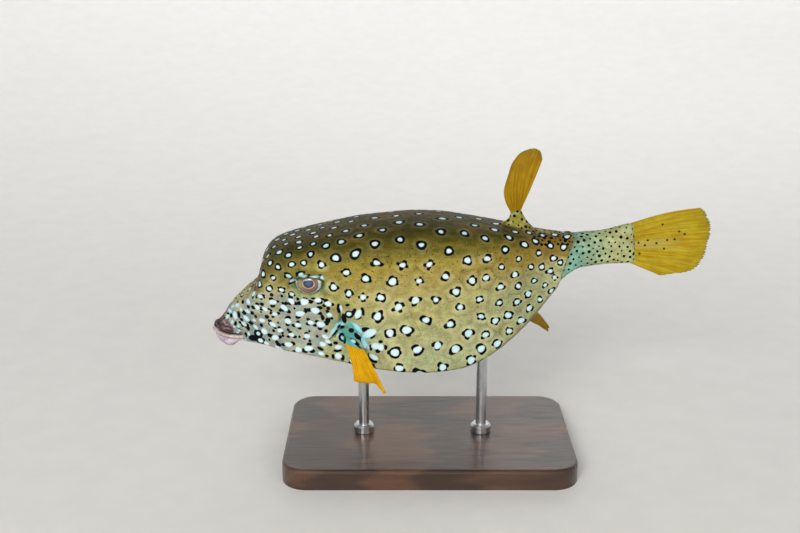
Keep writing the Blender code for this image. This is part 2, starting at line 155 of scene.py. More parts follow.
CAUDAL_SEAT = ((200.4, 0, 28.9), (200.4, 0, 10.7))

# Small forms of the head, (x, z) on the flank
NOSTRIL, NOSTRIL_RIM, NOSTRIL_DEPTH = (14.4, 10.6), 0.95, 1.5
GILL_TOP, GILL_BOTTOM = (63.6, 11.6), (56.8, -4.6)
GILL_BOW, GILL_DEPTH = 2.8, 1.7

# The tail fin's few dots, as shares across the fan and out along it
TAIL_DOTS = (
    (0.20, 0.44), (0.36, 0.62), (0.41, 0.69), (0.50, 0.14), (0.47, 0.25), (0.56, 0.22), (0.53, 0.36),
    (0.49, 0.49), (0.48, 0.58), (0.62, 0.47), (0.74, 0.16),
)

# Marks that have their own shape and place: (x, z, half-length, half-width, tilt in degrees), on the side
MOUTH_WHITES = (
    (12.4, 6.0, 1.1, 2.2, 0), (10.4, 2.4, 0.8, 1.4, -28), (11.0, 0.0, 0.7, 0.7, 0),
    (13.2, 0.4, 0.7, 0.8, 0), (13.2, -1.8, 0.8, 0.7, 0), (12.2, -3.0, 0.8, 0.5, -26),
    (18.0, 4.8, 1.8, 1.2, -40), (19.2, 8.6, 1.5, 1.0, -26), (10.0, 7.8, 1.1, 1.0, 0),
    (11.4, 9.8, 1.2, 0.6, 38), (20.4, 13.4, 1.1, 1.5, 0), (26.0, 4.8, 1.6, 1.2, 0),
    (22.2, 0.8, 1.7, 0.9, -48), (22.0, 4.4, 1.0, 0.8, 0), (26.2, -1.0, 1.6, 1.6, 0),
    (23.0, -2.4, 1.0, 1.0, 0), (23.6, -6.0, 1.3, 1.2, 0), (26.4, -7.4, 1.4, 1.2, -36),
    (18.0, -3.0, 0.7, 1.1, 0), (15.6, -7.0, 1.0, 0.7, 14), (18.6, -8.4, 1.2, 0.5, 6),
    (16.0, 9.2, 0.8, 1.2, 14),
)
MOUTH_BLACKS = (
    (14.4, 6.4, 0.8, 1.8, 0), (10.4, 5.8, 0.7, 1.2, 0), (11.9, 1.6, 0.7, 1.4, -26),
    (15.4, 4.0, 1.0, 0.8, -36), (17.4, 7.8, 1.2, 1.1, 0), (21.6, 8.0, 1.0, 1.0, 0),
    (20.0, 2.8, 2.0, 1.0, -34), (27.4, 13.2, 1.2, 0.9, 0), (28.8, 6.8, 1.1, 1.1, 0),
    (20.2, -5.0, 2.6, 1.7, 4), (23.0, -2.4, 2.3, 2.2, 0), (23.6, -6.0, 2.3, 2.1, 0),
    (18.2, 0.0, 1.0, 1.4, 0), (16.4, -3.6, 0.8, 1.4, 0), (20.0, 11.0, 0.8, 1.0, 0),
    (24.4, 11.4, 0.8, 0.8, 0), (28.6, -2.8, 1.1, 1.0, 0), (13.6, -1.0, 1.4, 0.3, -24),
    (14.0, -2.8, 1.2, 0.3, -20),
)
FIN_WHITES = (
    (64.6, 10.8, 0.7, 1.9, 0), (68.0, 8.0, 1.2, 1.0, 0), (72.2, 7.8, 2.4, 1.4, 58),
    (63.4, 3.6, 2.1, 0.8, 0), (59.8, 0.4, 3.2, 0.8, 48), (61.6, -1.6, 1.2, 0.6, 54),
    (63.6, -3.0, 0.8, 1.0, 0), (76.4, -1.6, 3.5, 1.8, 20), (74.0, -6.0, 3.1, 1.0, -66),
    (78.4, -7.8, 2.0, 1.6, 0), (80.8, -8.6, 1.5, 1.7, 0), (77.0, -13.0, 2.3, 1.2, -36),
    (68.8, -3.4, 1.2, 0.6, -28), (71.2, 1.4, 3.1, 1.0, -50), (56.5, -4.8, 1.5, 0.9, -26),
    (61.0, -7.6, 1.9, 1.2, 8), (60.6, -12.0, 1.7, 1.5, 0), (54.0, -6.2, 1.6, 1.3, -16),
    (52.6, -10.8, 1.5, 1.0, -14), (55.8, -2.4, 1.7, 1.1, -20),
)
FIN_BLACKS = (
    (63.7, 11.0, 1.0, 2.6, 0), (68.0, 7.8, 2.1, 1.9, 0), (65.5, 6.0, 1.2, 2.4, 4),
    (70.1, 8.7, 2.2, 1.0, 60), (74.4, 8.7, 0.9, 2.0, 6), (72.2, 5.8, 1.3, 0.7, 14),
    (67.7, 12.4, 1.1, 0.7, 0), (68.2, 0.7, 1.5, 0.9, 0), (70.8, -2.0, 2.0, 0.9, -48),
    (74.8, 0.2, 2.1, 1.2, -10), (72.5, -4.0, 3.3, 0.5, -62), (77.8, -3.4, 1.8, 0.6, 28),
    (63.6, 2.0, 1.9, 0.9, 6), (60.3, -1.3, 2.2, 0.9, 58), (63.6, -2.8, 1.9, 2.2, 0),
    (76.2, -8.3, 0.8, 1.6, 0), (79.3, -10.2, 1.3, 1.1, 0), (83.0, -8.8, 0.9, 1.2, 0),
    (81.0, -6.0, 1.1, 0.8, 0), (76.3, -14.1, 2.5, 1.2, -40), (75.0, -12.4, 0.7, 1.3, 4),
    (56.4, 0.4, 1.0, 1.0, 0), (57.4, -6.2, 1.2, 0.9, -16), (60.1, -5.6, 1.2, 0.9, 0),
    (60.6, -9.3, 2.2, 0.8, 6), (62.6, -12.8, 1.0, 1.6, -18), (58.2, -12.2, 0.8, 1.3, 0),
    (52.6, -8.4, 1.7, 0.9, -30), (55.2, -12.1, 1.0, 0.8, 0), (57.9, 5.6, 1.2, 1.3, 0),
    (55.6, 7.0, 0.9, 1.3, 0), (70.1, -4.0, 3.0, 0.4, -44), (71.0, -5.9, 2.4, 0.4, -46),
    (68.2, -2.5, 1.9, 0.3, -36),
)
# The same round the eye: (along, up) from the eye's middle
BROW_WHITES = (
    (-2.7, 4.3, 1.3, 0.7, 12), (-0.8, 3.6, 1.5, 0.5, 4), (3.9, 3.2, 2.2, 0.5, -4),
    (7.1, 1.8, 0.7, 1.5, 10), (-6.8, 1.5, 1.6, 0.8, 20), (-8.7, 3.7, 1.2, 0.8, -20),
)
BROW_BLACKS = (
    (-2.4, 5.1, 2.2, 0.9, 6), (1.2, 3.6, 0.8, 0.9, 0), (6.2, 3.2, 1.2, 0.8, 0),
    (-4.6, 4.4, 0.7, 1.0, 0), (-7.4, 0.6, 1.9, 0.7, 20), (-9.0, 4.6, 1.8, 0.9, -15),
    (-7.5, 3.0, 0.9, 0.8, 0), (-10.2, 3.4, 0.8, 0.9, 0),
)

# Marks and plates
OUTSIDE, FAR = -3.0, 9.0        # signed distances of a point well outside a mark, and well away from an edge
BROW_REACH = 4.0
PLATE_GROOVE = 0.10
CHUNK = 16384           # points measured at a time, to spare memory
DART_GAP = 0.42         # the least gap between two centres, as a share of the sum of their spacings
SPOTS_STEP, DOTS_STEP = 3, 2    # the centres are picked among every third or second point of the grid
SADDLE_FROM = 156
TEAL_AT, TEAL_RADII = (67.0, -0.5), (9.5, 5.2)      # the blue-green patch at the side fin's root
BARE_AT, BARE_RADII = (69.0, -2.0), (8.5, 9.0)      # the oval round that root, which has only its own marks
STEM_DOTS = dict(spacing=2.7, radius=0.64, seed=21)
ROOT_DOTS = dict(spacing=2.3, radius=0.70, seed=22)
FACE_DOTS = dict(spacing=5.4, radius=0.78, seed=23)
SPOTS_SEED, DORSAL_SEED, ANAL_SEED, CAUDAL_SEED, PECTORAL_SEED = 11, 31, 32, 33, 34

# The skin's grid: distance between its points along the profile, at places x, and points round half a section
GRID_STEP = ((0, 0.2), (20, 0.25), (42, 0.28), (45, 0.2), (59, 0.2), (64, 0.32), (90, 0.44), (200, 0.5))
HALF_RING = 230
STATION_SAMPLES, SECTION_SAMPLES = 20001, 121      # points of the lines that the grid is laid out on

# Colours, as seen in the photograph, in sRGB
# The dark roof colour is painted shade on the roof where it faces up
OLIVE_BACK, ROOF_PAINTED_SHADE = (102, 94, 33), (64, 62, 22)
# The first colour here is the forehead's olive made darker: partly its own colour, partly painted shade
BROW_OLIVE_AND_SHADE, OLIVE_TEMPLE, OLIVE_PATCH = (64, 64, 27), (112, 106, 44), (120, 116, 40)
HIGH_FLANK, GOLD_FLANK, KHAKI_FLANK = (153, 141, 62), (168, 163, 104), (163, 169, 125)
ORANGE_RIDGE, GREY_REAR, BROWN_REAR, SADDLE = (160, 124, 34), (142, 148, 108), (134, 110, 42), (128, 100, 26)
CREAM_BELLY = (134, 126, 82)
GREY_FACE, PINK_FACE = (139, 157, 150), (166, 154, 138)
TEAL, PALE_TEAL, OLIVE_TEAL = (60, 160, 160), (128, 200, 204), (116, 140, 84)
OLIVE_ROOT, PALE_ROOT = (150, 148, 60), (176, 176, 112)
MINT_STEM, CREAM_STEM = (122, 172, 156), (176, 184, 132)
GREEN_EYE_RIM, BLUE_BROW, DARK_LID = (120, 146, 92), (40, 74, 84), (46, 64, 48)
# The slit's colour is painted shade in the gill's opening
PALE_GILL, SLIT_PAINTED_SHADE = (214, 206, 206), (26, 28, 24)
PURPLE_LIP, PINK_STREAK, DARK_STREAK = (66, 60, 70), (176, 136, 158), (38, 32, 34)
PINK_LIP, MAUVE_LIP, BLUE_LIP, CREAM_LIP = (198, 188, 204), (150, 122, 144), (186, 190, 212), (216, 200, 186)
# The second mouth colour is painted shade in the mouth's groove
BROWN_MOUTH, MOUTH_PAINTED_SHADE = (146, 86, 26), (18, 14, 14)
SPOT_WHITE, SPOT_BLUE, SPOT_EDGE, SPOT_BLACK = (212, 230, 234), (140, 208, 222), (132, 168, 176), (6, 8, 14)
WARM_PATCH, BROWN_SPECK, FRECKLE = (150, 112, 44), (52, 42, 20), (22, 18, 10)
PLATE_LINE, SPOT_GLOW = (62, 50, 22), (214, 208, 158)
# The last iris colour is painted shadow of the brow on the upper iris
IRIS_BROWN, IRIS_DARK, IRIS_OLIVE, IRIS_PAINTED_SHADOW = (130, 92, 54), (86, 60, 48), (150, 138, 84), (70, 54, 56)
IRIS_RIM, EYE_BLUE, EYE_PALE, EYE_MAUVE = (82, 70, 86), (150, 172, 192), (196, 218, 226), (120, 104, 110)
# The pale ring's top colour is a painted highlight
EYE_EDGE, PUPIL_RING, PUPIL_RING_HIGHLIGHT = (60, 84, 70), (194, 164, 136), (196, 196, 212)
PUPIL, PUPIL_GLINT = (12, 16, 40), (46, 72, 130)
PECTORAL_COLOURS = dict(web=(210, 160, 0), ray=(202, 148, 0), rim=(170, 120, 0), dark=(190, 122, 0),
                        light=(216, 176, 20))
DORSAL_COLOURS = dict(web=(152, 118, 0), ray=(146, 110, 0), rim=(118, 104, 6), dark=(140, 86, 0),
                      light=(176, 150, 22))
CAUDAL_COLOURS = dict(web=(172, 149, 24), ray=(164, 138, 18), rim=(120, 118, 40), dark=(162, 104, 4),
                      light=(188, 172, 60))
TAIL_PALE, TAIL_DOT = (178, 170, 96), (44, 34, 16)
WALNUT, WALNUT_LIGHT, WALNUT_GRAIN = (58, 36, 24), (92, 60, 38), (38, 23, 15)
STEEL, STEEL_LIGHT = (178, 180, 184), (206, 207, 210)
STUDIO_WHITE, STUDIO_GREY = (238, 237, 234), (235, 234, 231)

# The studio, in metres and watts, and the camera, in millimetres
STAGE_MIDDLE = (-0.02, 0, 0.09)
BACKDROP = (0.0, 3.4, 0.7)
AREA_LIGHTS = (
    dict(name="key_light", place=(-0.34, -0.95, 0.58), size=(0.42, 0.42), power=7.2, colour=(1, 0.98, 0.95)),
    dict(name="fill_light", place=(0.60, -0.85, 0.32), size=(0.6, 0.6), power=2.2, colour=(0.96, 0.98, 1.0)),
    dict(name="backdrop_light", place=(0.0, 0.55, 1.7), size=(2.6, 0.8), power=26.0, target=BACKDROP),
    dict(name="rim_light", place=(0.30, 0.75, 0.55), size=(0.5, 0.4), power=0.35),
)
SUN_PLACE, SUN_POWER, SUN_ANGLE = (-0.5, -1.2, 1.2), 0.52, math.radians(40)
SKY_COLOUR, SKY_STRENGTH = (0.94, 0.96, 1.0, 1.0), 0.20
FLOOR_FLAT, FLOOR_CURVE, FLOOR_HEIGHT = 0.46, 1.8, 2.3
FLOOR_TURNS, FLOOR_ARC_STEPS = 96, 24
CAMERA_TARGET = (-28.15, 0.0, 96.0)
CAMERA_ELEVATION = math.radians(18)
CAMERA_DISTANCE, CAMERA_LENS, CAMERA_SENSOR = 528.0, 50.0, 36.0
NEAREST_SEEN = 10.0


def srgb(colour):
    """Linear RGB from 0 to 255 sRGB."""
    c = np.asarray(colour, float) / 255
    return np.where(c <= 0.04045, c / 12.92, ((c + 0.055) / 1.055) ** 2.4)


def smooth(edge0, edge1, x):
    """A soft step: 0 before edge0, 1 after edge1."""
    t = np.clip((x - edge0) / (edge1 - edge0), 0.0, 1.0)
    return t * t * (3 - 2 * t)


def fade(edge0, edge1, x):
    """A soft step down: 1 before edge0, 0 after edge1."""
    return 1 - smooth(edge0, edge1, x)


def bump(x, width):
    """A soft ridge: 1 where x is 0, falling off over width on both sides."""
    return np.exp(-((x / width) ** 2))


def side_view(q):
    """The x and z of points."""
    return q[..., 0], q[..., 2]


def curve(points, x):
    """The smooth curve through points at an array of places x. It never overshoots between points."""
    px, py = np.array(points, float).T
    h = np.diff(px)
    s = np.diff(py) / h
    slope = np.zeros_like(px)
    slope[0], slope[-1] = s[0], s[-1]
    same = s[:-1] * s[1:] > 0
    before, after = np.where(same, s[:-1], 1.0), np.where(same, s[1:], 1.0)
    w1, w2 = 2 * h[1:] + h[:-1], h[1:] + 2 * h[:-1]
    slope[1:-1] = np.where(same, (w1 + w2) / (w1 / before + w2 / after), 0.0)
    x = np.clip(x, px[0], px[-1])
    k = np.clip(np.searchsorted(px, x, side="right") - 1, 0, len(h) - 1)
    t = (x - px[k]) / h[k]
    return (
        py[k] * (1 + 2 * t) * (1 - t) ** 2
        + slope[k] * h[k] * t * (1 - t) ** 2
        + py[k + 1] * t * t * (3 - 2 * t)
        + slope[k + 1] * h[k] * t * t * (t - 1)
    )


def to_world(points):
    """Points of the fish's frame, in millimetres, as world points in metres."""
    p = np.asarray(points, float)
    x, y, z = p[..., 0], p[..., 1], p[..., 2]
    world_x = x * math.cos(PITCH) - z * math.sin(PITCH) - MODEL_LENGTH / 2
    world_z = x * math.sin(PITCH) + z * math.cos(PITCH) + BELLY_HEIGHT - BELLY_LOWEST
    return np.stack([world_x, y, world_z], -1) * MM


def unit(v):
    """Vectors scaled to length 1."""
    return v / np.maximum(np.linalg.norm(v, axis=-1, keepdims=True), 1e-9)


def wave_noise(p, scale, seed, count=24):
    """Smooth noise from -1 to 1: a sum of seeded waves about scale millimetres long."""
    rng = np.random.default_rng(seed)
    total = np.zeros(p.shape[:-1])
    for _ in range(count):
        direction = unit(rng.normal(size=3)) * (2 * math.pi / (scale * rng.uniform(0.7, 1.6)))
        total += np.sin(p @ direction + rng.uniform(0, 2 * math.pi))
    return np.clip(total / math.sqrt(count), -1.6, 1.6) / 1.6


# The skin's grid


def station_places():
    """The places x of the skin's sections: close together where the body's lines are steep."""
    x = np.linspace(0, BODY_END, STATION_SAMPLES)
    lines = [curve(c, x) for c in (BACK_LINE, BELLY_LINE, UPPER_WIDTH, LOWER_WIDTH)]
    steepest = np.max([np.abs(np.gradient(line, x)) for line in lines], axis=0)
    rate = np.sqrt(1 + steepest**2) / np.interp(x, *np.array(GRID_STEP).T)
    count = np.concatenate([[0], np.cumsum((rate[1:] + rate[:-1]) / 2 * np.diff(x))])
    body = np.interp(np.linspace(0, count[-1], int(count[-1])), count, x)
    sleeve = BODY_END + TAIL_SLEEVE * np.sin(np.linspace(0, math.pi / 2, 12)[1:])
    return np.concatenate([body, sleeve])


def half_rings(x):
    """The right halves of the sections at x: evenly spaced points from the back's middle to the belly's."""
    back, belly = curve(BACK_LINE, x), curve(BELLY_LINE, x)
    upper, lower = curve(UPPER_RIDGE, x), curve(LOWER_RIDGE, x)
    upper_y, lower_y = curve(UPPER_WIDTH, x), curve(LOWER_WIDTH, x)
    middle = (DISH_FROM + DISH_TO) / 2
    dish = FLANK_DISH * smooth(DISH_FROM, middle, x) * fade(middle, DISH_TO, x)
    taper = np.sqrt(np.clip(1 - (np.maximum(x - BODY_END, 0) / (TAIL_SLEEVE * 1.02)) ** 2, 0, 1))
    t = np.linspace(0, 1, SECTION_SAMPLES)
    rows = []
    for i in range(len(x)):
        a = math.pi / 2 * (1 - t)
        y1 = upper_y[i] * np.cos(a) ** (2 / BACK_ROUNDNESS)
        z1 = upper[i] + (back[i] - upper[i]) * np.sin(a) ** (2 / BACK_ROUNDNESS)
        y2 = upper_y[i] + (lower_y[i] - upper_y[i]) * smooth(0, 1, t) - dish[i] * np.sin(math.pi * t) ** 2
        z2 = upper[i] + (lower[i] - upper[i]) * t
        a = math.pi / 2 * t
        y3 = lower_y[i] * np.clip(np.cos(a), 0, 1) ** (2 / BELLY_ROUNDNESS)
        z3 = lower[i] + (belly[i] - lower[i]) * np.sin(a) ** (2 / BELLY_ROUNDNESS)
        y = np.concatenate([y1, y2[1:], y3[1:]])
        z = np.concatenate([z1, z2[1:], z3[1:]])
        y[0] = y[-1] = 0.0
        run = np.concatenate([[0], np.cumsum(np.hypot(np.diff(y), np.diff(z)))])
        even = np.linspace(0, run[-1], HALF_RING + 1)
        y, z = np.interp(even, run, y) * taper[i], np.interp(even, run, z)
        rows.append(np.stack([0 * even + x[i], y, z], -1))
    return np.array(rows)


def whole_rings(half):
    """Both sides: the back's middle is column 0, then the right side, the belly's middle, the left side."""
    left = half[:, -2:0:-1] * [1, -1, 1]
    return np.concatenate([half, left], axis=1)


def grid_crosses(p):
    """The outward normal at each point, as long as the area that its cell covers."""
    along = np.gradient(p, axis=0)
    around = np.roll(p, -1, axis=1) - np.roll(p, 1, axis=1)
    return np.cross(along, around / 2)


def from_cut(cut, x, z):
    """Signed distance behind a cut."""
    (cx, cz), (nx, nz) = cut
    size = math.hypot(nx, nz)
    return ((x - cx) * nx + (z - cz) * nz) / size


# Forms that stand out of the body or sink into it. q is a point with y folded to the right side.


def root_axes(shape):
    """A fin root's own axes: outward, along the fin and across it."""
    axis = unit(np.subtract(shape["top"], shape["foot"]))
    along = np.array(shape["along"], float)
    along = unit(along - axis * axis.dot(along))
    return axis, along, np.cross(axis, along)


def raise_root(p, n, shape, spread):
    """Draws the skin out into a fleshy fin root that covers the fin's own root by ROOT_COVER."""
    axis, along, across = root_axes(shape)
    top = np.array(shape["top"], float)
    q = p - top
    a, b, c = q @ along, q @ across, q @ axis
    long, short = (radius * spread for radius in shape["foot_radii"])
    r = np.hypot(a / long, b / short)
    near = (r < 1) & (n @ axis > 0.05) & (c > -ROOT_DEPTH)
    t = np.clip((r - CROWN_SHARE) / (1 - CROWN_SHARE), 0, 1)
    share = t**FOOT_FLARE
    scale = np.minimum(r / CROWN_SHARE, 1) / np.maximum(r, 1e-6)
    new_a, new_b = (
        place * scale * (top_radius / radius + (1 - top_radius / radius) * share)
        for place, top_radius, radius in zip((a, b), shape["top_radii"], (long, short))
    )
    crown = ROOT_COVER - CROWN_DOME * np.minimum(r / CROWN_SHARE, 1) ** 2
    new_c = crown + (c - crown) * smooth(0.0, 1.0, t) ** FOOT_RISE
    moved = top + new_a[..., None] * along + new_b[..., None] * across + new_c[..., None] * axis
    return np.where(near[..., None], moved, p)


def above_mouth(q):
    """Distance above the mouth's line."""
    return (q[..., 2] - curve(MOUTH_LINE, q[..., 0])) * ACROSS_MOUTH


def behind_lips(q):
    """Distance behind the lips' edge. The upper lip reaches highest in the middle."""
    arch = (0.3 * q[..., 1] - 1.2) * smooth(1.5, 5.0, q[..., 2])
    return (q[..., 0] - curve(LIP_EDGE, q[..., 2])) * ACROSS_LIPS + arch


def droop_lip(p):
    """The upper lip hangs a little lower than the section lines, most at its tip."""
    x = p[..., 0]
    share = np.maximum(smooth(-0.6, 0.6, above_mouth(p)), 0.6 * fade(0.3, 2.0, x))
    drop = LIP_DROOP * fade(4.5, 9.0, x) * share
    return p - drop[..., None] * np.array([0, 0, 1.0])


def lip_relief(q):
    """How far the lips swell and the mouth and their edge sink, along the normal."""
    x = q[..., 0]
    above, behind = above_mouth(q), behind_lips(q)
    open_mouth = fade(MOUTH_CORNER - 2.5, MOUTH_CORNER + 0.6, x)
    on_lip = fade(-2.2, 0.3, behind)
    lower = fade(-0.8, 0.2, above)
    relief = -MOUTH_DEPTH * bump(above - 0.30, 0.42) * open_mouth
    relief += 0.50 * bump(above - 2.0, 1.2) * open_mouth * on_lip
    relief += 0.55 * bump(above + 0.85, 0.50) * open_mouth
    relief += -0.30 * bump(above + 1.75, 0.40) * open_mouth * on_lip
    relief += 0.85 * bump(above + 3.6, 2.0) * on_lip * lower * fade(6.5, 11.0, x)
    relief += -0.9 * bump(x - 12.8, 2.2) * smooth(2.0, 5.0, -above)
    relief += -0.85 * bump(behind - 0.2, 0.75) * (x < 20) * smooth(-1.2, 0.3, -above)
    relief += -0.30 * bump(behind - 0.2, 0.5) * (x < 20) * smooth(0.0, 1.0, above)
    wave = above * 5.6 + 1.6 * np.sin(x * 0.55 + 0.8 * q[..., 1])
    relief += 0.085 * np.sin(wave) * on_lip * smooth(0.9, 2.0, above)
    return relief


def nostril_relief(q):
    """A low rim round a small pit on each side."""
    x, z = q[..., 0] - NOSTRIL[0], q[..., 2] - NOSTRIL[1]
    r = np.hypot(x, z * 1.1)
    r = np.where(q[..., 1] > 1.5, r, 99.0)
    return NOSTRIL_RIM * bump(r, 1.6) - NOSTRIL_DEPTH * bump(r, 0.55)


def gill_place(q):
    """Distance behind the gill slit, and the share of the way down it."""
    x, z = side_view(q)
    (x0, z0), (x1, z1) = GILL_TOP, GILL_BOTTOM
    length = math.hypot(x1 - x0, z1 - z0)
    ux, uz = (x1 - x0) / length, (z1 - z0) / length
    down = ((x - x0) * ux + (z - z0) * uz) / length
    behind = -(x - x0) * uz + (z - z0) * ux
    behind = behind - GILL_BOW * np.sin(np.clip(down, 0, 1) * math.pi)
    return behind, down


def gill_relief(q, n):
    """The gill's slit, with a swelling ahead of it."""
    behind, down = gill_place(q)
    ends = smooth(-0.06, 0.12, down) * fade(0.88, 1.06, down) * smooth(0.3, 0.7, np.abs(n[..., 1]))
    return ends * (-GILL_DEPTH * bump(behind, 0.45) + 0.55 * bump(behind + 1.5, 1.1))


def rim_relief(q):
    """The tail stem leaves the shell through a low rim."""
    x = q[..., 0]
    behind = from_cut(RIM_CUT, x, q[..., 2])
    step = -RIM_STEP * smooth(-0.35, 0.5, behind) * fade(RIM_STEP_FULL, RIM_STEP_GONE, x)
    return step + 0.35 * bump(behind + 1.1, 1.0)


def eye_frame():
    """The eye's own axes (along, out, up) as the columns of a matrix."""
    turn = Matrix.Rotation(EYE_TURN, 3, "Z") @ Matrix.Rotation(EYE_TILT, 3, "X")
    return np.array(turn)


def eye_place(q):
    """A point in the eye's frame (along, out, up), and its distance, 1 on the edge of the lids' opening."""
    local = (q - np.array(EYE_AT)) @ eye_frame()
    a, b = local[..., 0], local[..., 2]
    reach = np.where(b > 0, LID_TOP, LID_BOTTOM)
    return local, np.hypot(a / LID_WIDTH, b / reach)


def sink_socket(q, n):
    """Lays the lids on the eyeball and sinks the skin behind it."""
    local, rho = eye_place(q)
    a, c, b = local[..., 0], local[..., 1], local[..., 2]
    inside = np.clip(1 - (a / EYE_RADII[0]) ** 2 - (b / EYE_RADII[2]) ** 2, 0, 1)
    ball = EYE_RADII[1] * np.sqrt(inside)
    near = (rho < 2.4) & (np.abs(a) < 14) & (c > -6) & (n[..., 1] > 0.2)
    brow = smooth(0.0, 2.5, b) * fade(5.0, 7.5, np.abs(a))
    lid = ball + LID_THICKNESS + 0.35 * brow
    deep = ball - SOCKET_DEPTH
    away = c + 0.55 * bump(rho - 1.24, 0.20) + 0.75 * brow * bump(rho - 1.28, 0.30)
    away = away - 0.35 * bump(rho - 1.75, 0.22)
    skin = lid + (away - lid) * smooth(1.0, 1.30, rho)
    cover = ball + 0.15
    over_ball = (skin + cover + np.hypot(skin - cover, LID_BLEND)) / 2
    skin = skin + (over_ball - skin) * smooth(1.0, 1.2, rho) * (inside > 0)
    skin = np.where(rho < 1.0, deep + (lid - deep) * smooth(0.70, 1.0, rho), skin)
    new_c = np.where(near, skin, c)
    local = np.stack([a, new_c, b], -1)
    return np.where(near[..., None], local @ eye_frame().T + np.array(EYE_AT), q)


# Where the skin's regions lie


def over_ridge(q):
    """Height over the upper ridge, in millimetres. The functions after this one give shares from 0 to 1."""
    return q[..., 2] - curve(UPPER_RIDGE, q[..., 0])


def face_share(q):
    """The pale face: the snout and cheek, below the eye and ahead of the gill."""
    x, z = side_view(q)
    top = np.interp(x, (0, 10, 17, 24, 34, 42, 56, 62, 70), (9, 11.5, 14, 18.5, 20.5, 18.5, 17.0, 13, 6))
    below = fade(-2.6, 2.2, z - top)
    ahead = fade(-5.5, 2.0, from_cut(GILL_CUT, x, z))
    return below * ahead


def back_share(q):
    """The roof of the shell and the forehead."""
    x = q[..., 0]
    return smooth(-7.5, 7.0, over_ridge(q)) * fade(176, 190, x) * smooth(18, 28, x)


def root_share(q):
    """The fleshy root of the back fin and the pale strip behind it."""
    x, z = side_view(q)
    root = smooth(0.2, 1.2, z - curve(BACK_LINE, x)) * (np.abs(x - 150) < 12)
    strip = smooth(148, 152, x) * fade(160, 168, x) * bump(q[..., 1] - 1.2 + 0.1 * (x - 150), 2.4)
    return np.maximum(root, strip * smooth(0, 4, over_ridge(q)))


def belly_share(q):
    """The underside, below the lower ridge."""
    x, z = side_view(q)
    under = curve(LOWER_RIDGE, x) - z
    return smooth(-1.0, 3.5, under) * fade(166, 176, x) * smooth(14, 30, x)


def freckle_share(q):
    """The band of tiny dark freckles along the upper ridge."""
    x = q[..., 0]
    band = fade(7, 11, np.abs(over_ridge(q) + 4.0))
    return band * smooth(56, 66, x) * fade(150, 160, x)


def stem_share(q):
    """The tail stem, behind the shell's rim."""
    return smooth(-1.5, 3.0, from_cut(RIM_CUT, q[..., 0], q[..., 2]))


def teal_share(q):
    """The blue-green patch round the root of the side fin."""
    x, z = q[..., 0] - TEAL_AT[0], q[..., 2] - TEAL_AT[1]
    along, across = x * 0.75 - z * 0.66, x * 0.66 + z * 0.75
    return np.exp(-((along / TEAL_RADII[0]) ** 2) - (across / TEAL_RADII[1]) ** 2) * (q[..., 1] > 10)


def blue_share(q):
    """Where white marks turn blue: at the side fin's root, over the eye, at the mouth, low at the rear."""
    local, rho = eye_place(q)
    brow = smooth(0.5, 2.0, local[..., 2]) * fade(1.9, 2.8, rho)
    snout = 0.45 * face_share(q) * fade(14, 26, q[..., 0])
    rear = 0.30 * smooth(70, 130, q[..., 0]) * fade(0, 24, q[..., 2])
    return np.clip(2.0 * teal_share(q) + 0.6 * brow + snout + rear, 0, 1)


# Markings


def nearest(points, centres, count=1):
    """The nearest centres of each point and their distances, nearest first."""
    found = np.empty((len(points), count), int)
    distance = np.empty((len(points), count))
    squares = (centres**2).sum(1)
    for start in range(0, len(points), CHUNK):
        chunk = slice(start, start + CHUNK)
        part = points[chunk]
        d = squares - 2 * part @ centres.T + (part**2).sum(1)[:, None]
        order = np.argpartition(d, count, axis=1)[:, :count]
        picked = np.take_along_axis(d, order, axis=1)
        sort = np.argsort(picked, axis=1)
        found[chunk] = np.take_along_axis(order, sort, axis=1)
        distance[chunk] = np.sqrt(np.maximum(np.take_along_axis(picked, sort, axis=1), 0))
    return found, distance


def scatter(points, area, spacing, seed, rounds=8):
    """Spreads centres over surface points, each about its own spacing from the next, and evens them out."""
    rng = np.random.default_rng(seed)
    centres, radii = [], []
    for i in rng.permutation(len(points)):
        if centres:
            gap = np.sum((np.array(centres) - points[i]) ** 2, axis=1)
            if (gap < (DART_GAP * (np.array(radii) + spacing[i])) ** 2).any():
                continue
        centres.append(points[i])
        radii.append(spacing[i])
    centres = np.array(centres)
    weight = area / spacing**4
    for _ in range(rounds):
        near = nearest(points, centres)[0][:, 0]
        total = np.bincount(near, weights=weight, minlength=len(centres))
        middle = np.stack([
            np.bincount(near, weights=weight * points[:, k], minlength=len(centres)) for k in range(3)
        ], -1) / np.maximum(total, 1e-12)[:, None]
        middle[total == 0] = centres[total == 0]
        centres = points[nearest(middle, points)[0][:, 0]]
    return centres


def spot_spacing(q):
    """Distance between the white spots in millimetres."""
    x = q[..., 0]
    flank = np.interp(x, (0, 12, 40, 58, 68, 90, 112, 135, 150, 168),
                      (4.2, 4.6, 5.6, 6.6, 8.8, 10.2, 9.0, 7.2, 6.4, 5.6))
    back = np.interp(x, (20, 30, 45, 62, 74, 90, 110, 135, 155, 170),
                     (5.2, 5.8, 6.4, 6.8, 8.8, 11.0, 11.0, 8.4, 7.2, 6.0))
    face = np.interp(x, (0, 12, 30, 60), (4.2, 4.8, 5.9, 6.4))
    spacing = flank + (back - flank) * back_share(q)
    spacing = spacing + (face - spacing) * face_share(q)
    return spacing * (1 + 0.15 * belly_share(q))


def mark_field(a, b, marks):
    """How deep a point (a, b) lies inside the nearest of some oval marks; negative outside them."""
    field = np.full(a.shape, -FAR)
    for x, z, long, wide, tilt in marks:
        turn = math.radians(tilt)
        along = (a - x) * math.cos(turn) + (b - z) * math.sin(turn)
        across = (b - z) * math.cos(turn) - (a - x) * math.sin(turn)
        field = np.maximum(field, (1 - np.hypot(along / long, across / wide)) * min(long, wide))
    return field


